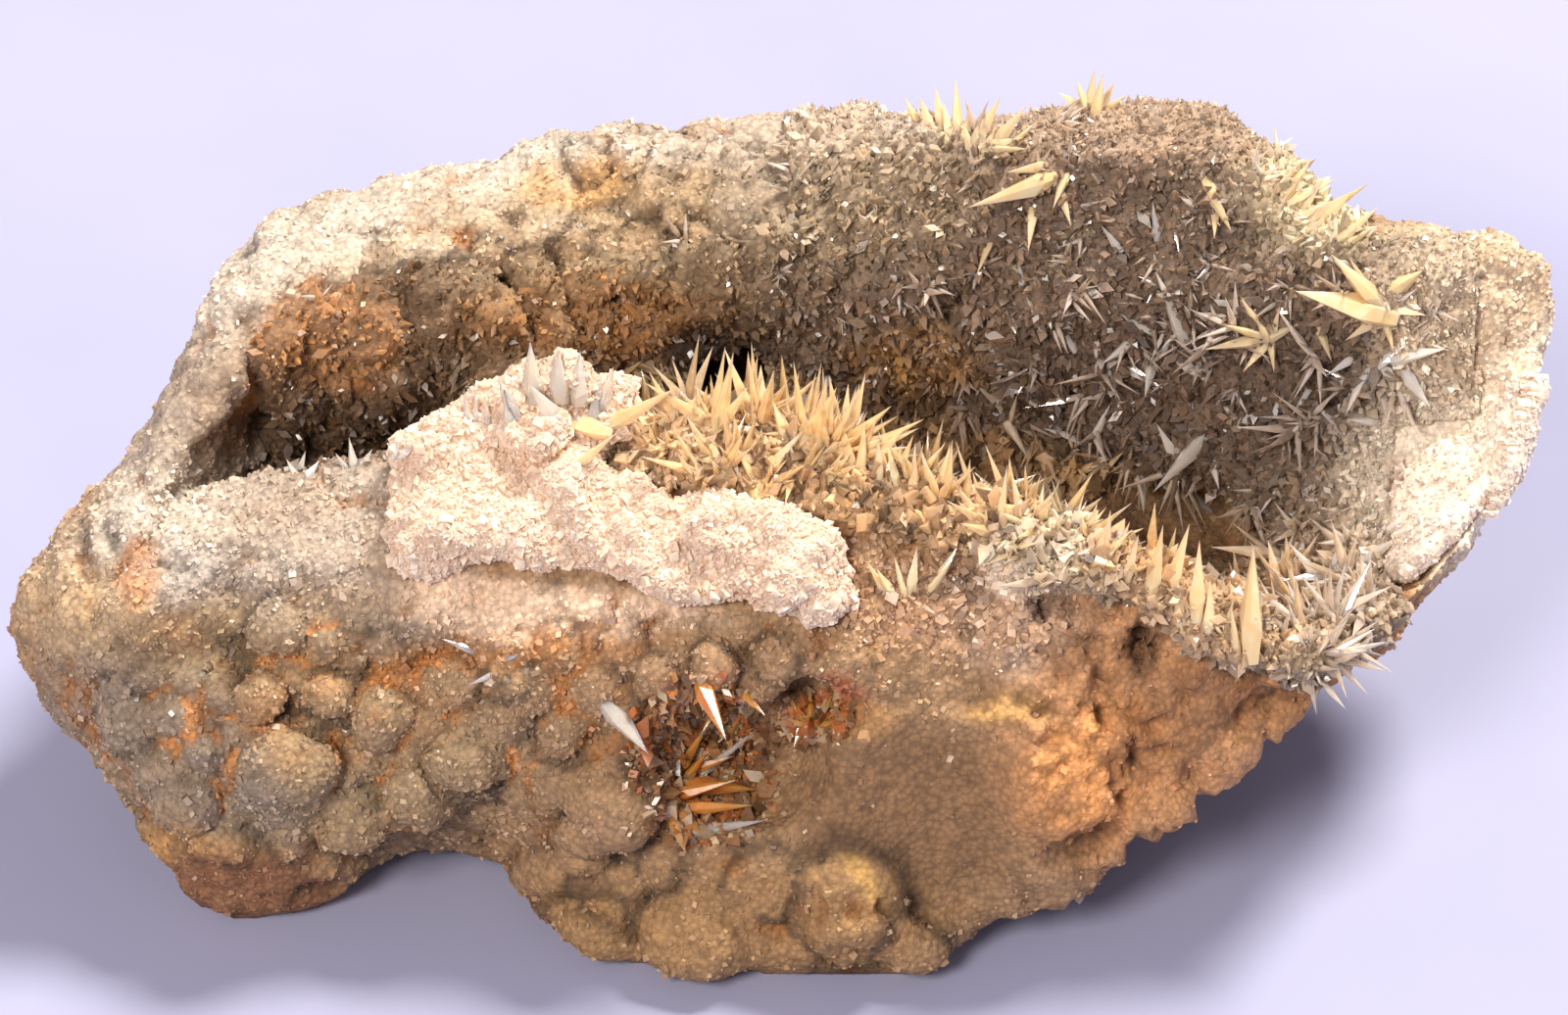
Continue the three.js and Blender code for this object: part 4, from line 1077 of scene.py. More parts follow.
class Crystals:
    """Crystal shapes in bulk."""

    BOX_FACES = np.array([(0, 1, 3, 2), (4, 6, 7, 5), (0, 4, 5, 1), (2, 3, 7, 6), (0, 2, 6, 4), (1, 5, 7, 3)])
    BOX_POINTS = 8
    SPIKE_POINTS = 13
    BOX_CORNERS = np.array([(i, j, k) for i in (-0.5, 0.5) for j in (-0.5, 0.5) for k in (-0.5, 0.5)])
    EDGE_ANGLE = math.radians(102.0)
    EDGE_RISE = math.sqrt((1.0 + 2.0 * math.cos(EDGE_ANGLE)) / 3.0)
    EDGE_REACH = math.sqrt(1.0 - EDGE_RISE * EDGE_RISE)
    THIRDS = np.radians([0.0, 120.0, 240.0])

    @staticmethod
    def turns(count: int, random: np.random.Generator) -> np.ndarray:
        """Even random turns.

        Args:
            count: How many.
            random: Source of chance.

        Returns:
            One 3 x 3 rotation per turn, from unit quaternions.
        """
        w, x, y, z = unit(random.normal(size=(count, 4))).T
        rows = [
            [1 - 2 * (y * y + z * z), 2 * (x * y - z * w), 2 * (x * z + y * w)],
            [2 * (x * y + z * w), 1 - 2 * (x * x + z * z), 2 * (y * z - x * w)],
            [2 * (x * z - y * w), 2 * (y * z + x * w), 1 - 2 * (x * x + y * y)],
        ]
        return np.array(rows).transpose(2, 0, 1)

    @staticmethod
    def across(along: np.ndarray) -> Tuple[np.ndarray, np.ndarray]:
        """Two directions that stand square to each given one and to each other.

        Args:
            along: Unit directions.

        Returns:
            The unit cross product with +Z, or with +X where the direction's z is past 0.8, and the cross
            product of the direction with that.
        """
        other = np.where(np.abs(along[:, [2]]) < 0.8, [[0.0, 0.0, 1.0]], [[1.0, 0.0, 0.0]])
        side = unit(np.cross(along, other))
        return side, np.cross(along, side)

    @classmethod
    def rhombs(cls, places: np.ndarray, sizes: np.ndarray, random: np.random.Generator) -> Surface:
        """Cleavage rhombs, each turned at random.

        Args:
            places: Middle of each rhomb in mm.
            sizes: Edge of each rhomb in mm.
            random: Source of chance.

        Returns:
            The rhombs, six quads each. The three edges of a rhomb meet at 102 degrees, and each of them is
            0.55 to 1.45 times the size, at random.
        """
        flat = cls.EDGE_REACH * np.stack([np.cos(cls.THIRDS), np.sin(cls.THIRDS)], axis=1)
        edges = np.column_stack([flat, np.full(3, cls.EDGE_RISE)])
        stretch = random.uniform(0.55, 1.45, (len(places), 1, 3))
        local = (cls.BOX_CORNERS[None] * stretch) @ edges
        world = np.einsum("nij,nkj->nki", cls.turns(len(places), random), local)
        points = places[:, None] + world * sizes[:, None, None]
        all_faces = cls.BOX_FACES[None] + cls.BOX_POINTS * np.arange(len(places))[:, None, None]
        return Surface(points.reshape(-1, 3), all_faces.reshape(-1, 4))

    @classmethod
    def stubs(
        cls, places: np.ndarray, along: np.ndarray, widths: np.ndarray, random: np.random.Generator
    ) -> Surface:
        """Steep rhombs that point outward with three faces.

        Args:
            places: Middle of each stub in mm.
            along: Direction in which each one points.
            widths: Edge of each stub in mm, across its direction.
            random: Source of chance.

        Returns:
            The stubs, six quads each: rhombs drawn out 1.6 to 4.2 times along their threefold axis, with
            edges 0.7 to 1.3 times as long as they would be.
        """
        count = len(places)
        side, front = cls.across(along)
        spin = random.uniform(0.0, 2 * math.pi, count)
        angles = spin[:, None] + cls.THIRDS[None]
        round_it = np.cos(angles)[..., None] * side[:, None] + np.sin(angles)[..., None] * front[:, None]
        steep = random.uniform(1.6, 4.2, (count, 1, 1)) * cls.EDGE_RISE
        edges = cls.EDGE_REACH * round_it + steep * along[:, None]
        uneven = random.uniform(0.7, 1.3, (count, 3, 1))
        world = np.einsum("ck,nkj->ncj", cls.BOX_CORNERS, edges * uneven)
        points = places[:, None] + world * widths[:, None, None]
        all_faces = cls.BOX_FACES[None] + cls.BOX_POINTS * np.arange(count)[:, None, None]
        return Surface(points.reshape(-1, 3), all_faces.reshape(-1, 4))

    @classmethod
    def spikes(
        cls, roots: np.ndarray, tips: np.ndarray, radii: np.ndarray, random: np.random.Generator
    ) -> Surface:
        """Dog-tooth spikes: six steep faces that meet in a zigzag girdle near the root.

        Args:
            roots: Root of each spike in mm.
            tips: Tip of each spike in mm.
            radii: Greatest radius of each spike in mm.
            random: Source of chance.

        Returns:
            The spikes, 22 triangles each. The girdle lies at 0.18 to 0.34 of the length, give or take 0.06
            by turns, with radius 1 and 0.68 to 0.92 by turns; the root ring has 0.6 of the radius.
        """
        count = len(roots)
        axis = tips - roots
        side, front = cls.across(unit(axis))
        turn = random.uniform(0.0, 2 * math.pi, count)
        angles = turn[:, None] + np.radians(60.0 * np.arange(6))[None]
        angles = angles + random.normal(0.0, 0.07, (count, 6))
        ring = np.cos(angles)[..., None] * side[:, None] + np.sin(angles)[..., None] * front[:, None]
        zigzag = np.array([1.0, -1.0] * 3)
        girdle_radius = radii[:, None] * np.where(zigzag > 0, 1.0, random.uniform(0.68, 0.92, (count, 1)))
        girdle_share = random.uniform(0.18, 0.34, (count, 1)) + zigzag * 0.06
        root_ring = roots[:, None] + ring * (radii * 0.6)[:, None, None]
        girdle = roots[:, None] + axis[:, None] * girdle_share[..., None] + ring * girdle_radius[..., None]
        points = np.concatenate([root_ring, girdle, tips[:, None]], axis=1)
        faces: List[Tuple[int, int, int]] = [(0, k + 1, k) for k in range(1, 5)]
        for k in range(6):
            after = (k + 1) % 6
            faces += [(k, after, 6 + after), (k, 6 + after, 6 + k), (6 + k, 6 + after, 12)]
        all_faces = np.array(faces)[None] + cls.SPIKE_POINTS * np.arange(count)[:, None, None]
        made = Surface(points.reshape(-1, 3), all_faces.reshape(-1, 3))
        centre = np.repeat((roots + 0.3 * axis), len(faces), axis=0)
        middle = made.points[made.faces].mean(axis=1)
        if (np.einsum("ij,ij->i", made.face_normals(), middle - centre) < 0).mean() > 0.5:
            made.faces = made.faces[:, ::-1]
        return made


class Scatter:
    """Random places on a surface."""

    def __init__(self, surface: Surface, weights: np.ndarray, random: np.random.Generator) -> None:
        """Readies a scatter.

        Args:
            surface: The surface.
            weights: One density weight per face.
            random: Source of chance.
        """
        normals = surface.face_normals()
        area = np.linalg.norm(normals, axis=1) * np.maximum(weights, 0.0)
        self.surface = surface
        self.normals = unit(normals)
        self.shares = area / area.sum()
        self.random = random

    def pick(self, count: int) -> Tuple[np.ndarray, np.ndarray, np.ndarray]:
        """Picks places, denser where the weight is higher.

        Args:
            count: How many.

        Returns:
            The places in mm, the normals there and the numbers of their faces.
        """
        chosen = self.random.choice(len(self.shares), count, p=self.shares)
        shares = self.random.dirichlet(np.ones(self.surface.faces.shape[1]), count)
        places = np.einsum("nk,nkj->nj", shares, self.surface.points[self.surface.faces[chosen]])
        return places, self.normals[chosen], chosen


class CrystalBed:
    """The drusy bed that lines the hollow: a thin crust, thicker along the lip, set with crystals."""

    NEEDLES_PER_SPRAY = 7
    WHITE_PATCH = Zone(1480, 490, 95, 85, 0, 0.2)
    STAINS_AND_SHADES = (
        StainOrShade("brown wall on the left", Zone(470, 350, 340, 130, -8), linear(120, 90, 60), 0.9, 0.3, 3.0),
        StainOrShade("left wall globules", Zone(640, 275, 170, 40, -4), linear(166, 140, 106), 0.75, 0.4, 3.0),
        StainOrShade("orange of the left wall", Zone(345, 345, 80, 50), linear(206, 142, 84), 0.7, 0.6, 2.2),
        StainOrShade("ochre of the cave's roof", Zone(610, 325, 130, 40), linear(190, 134, 78), 0.7, 0.6, 2.0),
        # Painted shade: the dark floor on the left.
        StainOrShade("dark floor on the left", Zone(520, 430, 330, 36, -4), PAINTED_SHADE_BROWN, 0.75, 0.2, 2.4),
        # Painted shadow: the dark cave.
        StainOrShade("dark cave", Zone(738, 372, 62, 42), PAINTED_CAVE_SHADOW, 0.9, 0.1, 2.0),
        StainOrShade("grey wall on the right", Zone(1120, 330, 330, 230), linear(130, 104, 84), 0.85, 0.35, 2.2),
        # Painted shade: the deep right wall and the dark trough.
        StainOrShade("deep wall on the right", Zone(1190, 420, 220, 110), PAINTED_WALL_SHADE, 0.7, 0.4, 2.5),
        StainOrShade("dark trough", Zone(980, 430, 220, 60, 12), PAINTED_WALL_SHADE, 0.7, 0.4, 2.0),
        # Painted shade: the dark gap at the right.
        StainOrShade("dark gap at the right", Zone(1240, 545, 100, 30, 8), PAINTED_SHADE_BROWN, 0.8, 0.2, 2.0),
        StainOrShade("orange gaps of the wall", Zone(930, 370, 70, 40), OCHRE, 0.5, 0.7, 1.8),
        StainOrShade("cream rim at the back", Zone(1140, 118, 230, 42, 3), linear(188, 158, 130), 0.9, 0.35, 2.0),
        StainOrShade("cream crest on the left", Zone(870, 125, 110, 44, -8), linear(210, 186, 160), 0.9, 0.25, 3.0),
        StainOrShade("tan wall under the crest", Zone(880, 215, 110, 60, -8), linear(176, 152, 120), 0.7, 0.35, 3.0),
        StainOrShade("rim at the back right", Zone(1340, 200, 70, 60, 35), linear(238, 216, 176), 0.85, 0.2, 3.0),
        StainOrShade("cream right end", Zone(1500, 320, 100, 125), linear(212, 188, 158), 0.9, 0.25, 2.5),
        StainOrShade("honey ridge", Zone(930, 500, 330, 70, 12), HONEY_TAN, 0.85, 0.3, 2.0),
        StainOrShade("honey ridge on the left", Zone(700, 430, 200, 50, 8), linear(228, 190, 148), 0.85, 0.3, 2.0),
        StainOrShade("pale ridge front", Zone(1060, 560, 60, 40), linear(228, 208, 180), 0.8, 0.3, 2.0),
        StainOrShade("rust under the ridge", Zone(930, 585, 50, 20), RUST, 0.6, 0.4, 1.6),
        StainOrShade("grey-honey right cluster", Zone(1370, 590, 90, 70), linear(182, 156, 128), 0.8, 0.3, 2.0),
        StainOrShade("honey right ridge", Zone(1230, 610, 110, 60, 25), linear(214, 172, 128), 0.75, 0.3, 2.0),
        StainOrShade("cream round the white patch", Zone(1470, 490, 100, 95), linear(240, 222, 198), 0.9, 0.15, 3.0),
    )

    def __init__(self, node: bpy.types.Object, rock: RockBody, view: DisplayView) -> None:
        """Keeps what the bed is made from.

        Args:
            node: The CAD node of the crust.
            rock: The built rock.
            view: The display view.
        """
        self.node = node
        self.rock = rock
        self.view = view
        self.surface: Optional[Surface] = None
        self.top: Optional[Surface] = None
        self.random = np.random.default_rng(SEED)

    def build(self) -> "CrystalBed":
        """Shapes the bed.

        Returns:
            The bed itself. The rock's points that the crust covers are lifted along their normals by the
            crust's own thickness there, evened out, plus noise. A sunk copy of the points closes it below.
        """
        rock = self.rock.surface
        crust = Surface(
            np.array([v.co for v in self.node.data.vertices], float) / METRES_PER_MM,
            np.array([tuple(p.vertices) for p in self.node.data.polygons]),
        )
        tree = crust.tree()
        normals = unit(rock.spread(rock.normals(), 4))
        low, high = crust.points.min(0) - 2.0, crust.points.max(0) + 2.0
        near = np.flatnonzero(((rock.points > low) & (rock.points < high)).all(axis=1))
        covered = np.zeros(len(rock.points), bool)
        thickness = np.zeros(len(rock.points))
        for index in near:
            start = Vector(rock.points[index])
            found = tree.find_nearest(start, 1.9)
            if found[0] is None:
                continue
            covered[index] = True
            thickness[index] = self.reach(tree, start, Vector(normals[index]))
        inside = covered[rock.faces].all(axis=1)
        kept = rock.faces[inside]
        used = np.unique(kept)
        renumber = np.full(len(rock.points), -1)
        renumber[used] = np.arange(len(used))
        sheet = Surface(rock.points[used], renumber[kept])
        depth = sheet.spread(np.clip(thickness[used], 0.5, 4.2), 6)
        noise = 0.35 * Noise.layered(sheet.points, 2.2, 3, 301)
        lumps, own = Noise.cells(sheet.points, 3.6, 305)
        noise += 1.5 * (np.sqrt(np.clip(1.0 - (1.15 * lumps) ** 2, 0.0, 1.0)) * (0.6 + 0.7 * own) - 0.45)
        border = self.border(sheet)
        rise = np.ones(len(sheet.points))
        rise[border] = 0.0
        rise = sheet.spread(rise, 10) ** 0.8
        lift = (np.maximum(depth + noise, 0.25) * rise + 0.04)[:, None]
        outward = normals[used]
        top = sheet.points + outward * lift
        bottom = sheet.points - outward * 0.3
        count = len(used)
        sides = self.rim_edges(sheet)
        walls = np.stack([sides[:, 1], sides[:, 0], sides[:, 0] + count, sides[:, 1] + count], axis=1)
        faces = np.concatenate([sheet.faces, sheet.faces[:, ::-1] + count, walls])
        self.surface = Surface(np.concatenate([top, bottom]), faces)
        self.top = Surface(top, sheet.faces)
        LOG.info("bed: %d faces", len(faces))
        return self

    @staticmethod
    def reach(tree: BVHTree, start: Vector, outward: Vector) -> float:
        """How far the crust reaches above a place on the rock.

        Args:
            tree: Search tree of the crust.
            start: Place on the rock in mm.
            outward: Unit normal there.

        Returns:
            The distance to the last side of the crust within 4.5 mm, or 0 if there is none.
        """
        travelled, best = 0.0, 0.0
        origin = start - outward * 0.5
        for _ in range(4):
            place, _, _, distance = tree.ray_cast(origin, outward, 5.0 - travelled)
            if place is None:
                break
            travelled += distance + 1e-3
            best = travelled - 0.5
            origin = place + outward * 1e-3
        return best

    @staticmethod
    def rim_edges(sheet: Surface) -> np.ndarray:
        """Edges with a face on one side only.

        Args:
            sheet: An open surface.

        Returns:
            Two point numbers per edge, in the direction of its face.
        """
        pairs = np.stack([sheet.faces.ravel(), np.roll(sheet.faces, -1, axis=1).ravel()], axis=1)
        count = len(sheet.points)
        keys = pairs[:, 0].astype(np.int64) * count + pairs[:, 1]
        back = pairs[:, 1].astype(np.int64) * count + pairs[:, 0]
        return pairs[~np.isin(keys, back)]

    @classmethod
    def border(cls, sheet: Surface) -> np.ndarray:
        """Numbers of the points on the rim of an open surface."""
        return np.unique(cls.rim_edges(sheet))

    def rim(self, points: np.ndarray) -> np.ndarray:
        """How far places belong to the rim and the white patch, where the grains are fine.

        Args:
            points: Places in mm.

        Returns:
            1 on the rim and the patch, 0 elsewhere.
        """
        seen = self.view.seen_at(points)
        back = Zone(1080, 110, 300, 45, 3).weight(seen)
        return np.maximum.reduce([back, Zone(1500, 290, 110, 70).weight(seen), self.WHITE_PATCH.weight(seen)])

    def bare_wall(self, points: np.ndarray) -> np.ndarray:
        """1 on the left wall, where the crystals are few and small, and 0 on the lip and on the right."""
        wall = Zone(480, 340, 350, 150, -8).weight(self.view.seen_at(points))
        return wall * smoothstep(4.0, -6.0, points[:, 0])

    def colours(self, points: np.ndarray, normals: np.ndarray, seed: int) -> np.ndarray:
        """Linear colours of the bed and of the crystals on it; the seed breaks the patches up."""
        return ColourPatchMap(WALL_GREY, self.STAINS_AND_SHADES, self.view).colours(points, normals @ self.view.back, seed)

    def dress(self, finish: RockFinish) -> bpy.types.Object:
        """Makes the bed's object.

        Args:
            finish: The bed's finish.

        Returns:
            The object.
        """
        shades = self.colours(self.surface.points, self.surface.normals(), 400) * 0.85
        made = self.surface.to_object("crystal_bed", True, shades)
        made.data.materials.append(finish.make())
        return made

    def grains(self, count: int, name: str, finish: DruseFinish) -> bpy.types.Object:
        """Sets small pointed rhombs all over the bed.

        Args:
            count: How many.
            name: Name of the object.
            finish: Their finish.

        Returns:
            The object with all of them.
        """
        middle = self.top.points[self.top.faces].mean(axis=1)
        bare = self.bare_wall(middle)
        places, normals, chosen = Scatter(
            self.top, (1.0 - 0.35 * bare) * (1.0 + 1.5 * self.rim(middle)), self.random
        ).pick(count)
        spread = np.clip(self.random.lognormal(0.0, 0.42, count), 0.4, 2.1)
        lip = Zone(900, 490, 400, 75, 12).weight(self.view.seen_at(places))
        sizes = 0.27 * spread * (1.0 - 0.2 * bare[chosen])
        sizes = sizes * (1.0 - 0.5 * self.rim(places)) * (1.0 + 0.5 * lip)
        shades = self.colours(places, normals, 500)
        shades = shades * self.random.uniform(0.45 - 0.25 * lip[:, None], 1.5 + 0.15 * lip[:, None])
        lean = unit(normals + self.random.normal(0.0, 0.55, (count, 3)))
        made = Crystals.stubs(places + lean * (sizes * 0.15)[:, None], lean, sizes, self.random)
        tints = np.repeat(np.clip(shades, 0, 0.95), Crystals.BOX_POINTS, axis=0)
        result = made.to_object(name, False, tints)
        result.data.materials.append(finish.make())
        return result

    def needles(self, count: int, finish: DruseFinish) -> bpy.types.Object:
        """Sets small spikes over the bed, more and longer along the lip and on the right wall.

        Args:
            count: How many.
            finish: Their finish.

        Returns:
            The object with all of them.
        """
        middle = self.top.points[self.top.faces].mean(axis=1)
        seen = self.view.seen_at(middle)
        ridge = Zone(960, 505, 340, 75, 12).weight(seen)
        left_ridge = Zone(690, 430, 220, 55, 8).weight(seen)
        wall = Zone(1220, 380, 230, 150).weight(seen)
        cluster = Zone(1370, 600, 90, 70).weight(seen)
        weights = 0.6 + 1.2 * ridge + 1.2 * left_ridge + 0.5 * wall + 1.2 * cluster
        weights *= 1.0 - 0.95 * self.WHITE_PATCH.weight(seen)
        weights *= 1.0 - 0.85 * self.bare_wall(middle) * (1.0 - left_ridge)
        sprays = count // self.NEEDLES_PER_SPRAY
        places, normals, chosen = Scatter(self.top, weights, self.random).pick(sprays)
        spray = self.random.integers(0, sprays, count)
        places = places[spray] + self.random.normal(0.0, 0.3, (count, 3))
        normals, chosen = normals[spray], chosen[spray]
        vigour = self.random.lognormal(0.0, 0.45, sprays)[spray]
        long = (1.5 + 0.9 * ridge + 1.2 * left_ridge + 1.0 * wall + 1.2 * cluster)[chosen]
        length = long * np.clip(vigour * self.random.lognormal(-0.1, 0.3, count), 0.35, 2.2)
        upward = np.array((0.0, -0.05, 0.45))[None] * (ridge + left_ridge)[chosen][:, None]
        lean = unit(normals + upward + self.random.normal(0.0, 0.75, (count, 3)))
        outward = np.einsum("ij,ij->i", lean, normals)
        lean = np.where((outward < 0.2)[:, None], unit(lean + normals), lean)
        roots = places - normals * 0.35
        tips = roots + lean * length[:, None]
        radii = length * self.random.uniform(0.05, 0.1, count) * (1.0 - 0.3 * wall[chosen]) + 0.06
        shades = self.colours(places, normals, 600) * self.random.uniform(1.0, 1.5, (count, 1))
        pale = self.random.uniform(0.1, 0.98, (count, 1))
        golden = np.maximum(ridge, left_ridge)[chosen][:, None]
        clear = np.array(linear(250, 208, 150)) * golden + np.array(linear(226, 206, 190)) * (1.0 - golden)
        shades = shades * (1.0 - pale) + clear * pale
        made = Crystals.spikes(roots, tips, radii, self.random)
        tints = np.repeat(np.clip(shades, 0, 0.95), Crystals.SPIKE_POINTS, axis=0)
        result = made.to_object("bed_needles", False, tints)
        result.data.materials.append(finish.make())
        return result


class Spar(Enum):
    """Kinds of great spike."""

    HONEY = "clear honey yellow"
    SMOKY = "clear greyish"
    MILKY = "cloudy white"
    RUST = "stained rust orange"


@dataclass(frozen=True)
class SpikeGroup:
    """Great spikes that stand together.

    Each row gives the column and row of the root, the column and row of the tip, and the radius in mm. The
    lean is how far the spikes come towards the viewer, as a share of their seen length.
    """

    name: str
    spar: Spar
    lean: float
    rows: Tuple[Tuple[float, float, float, float, float], ...]


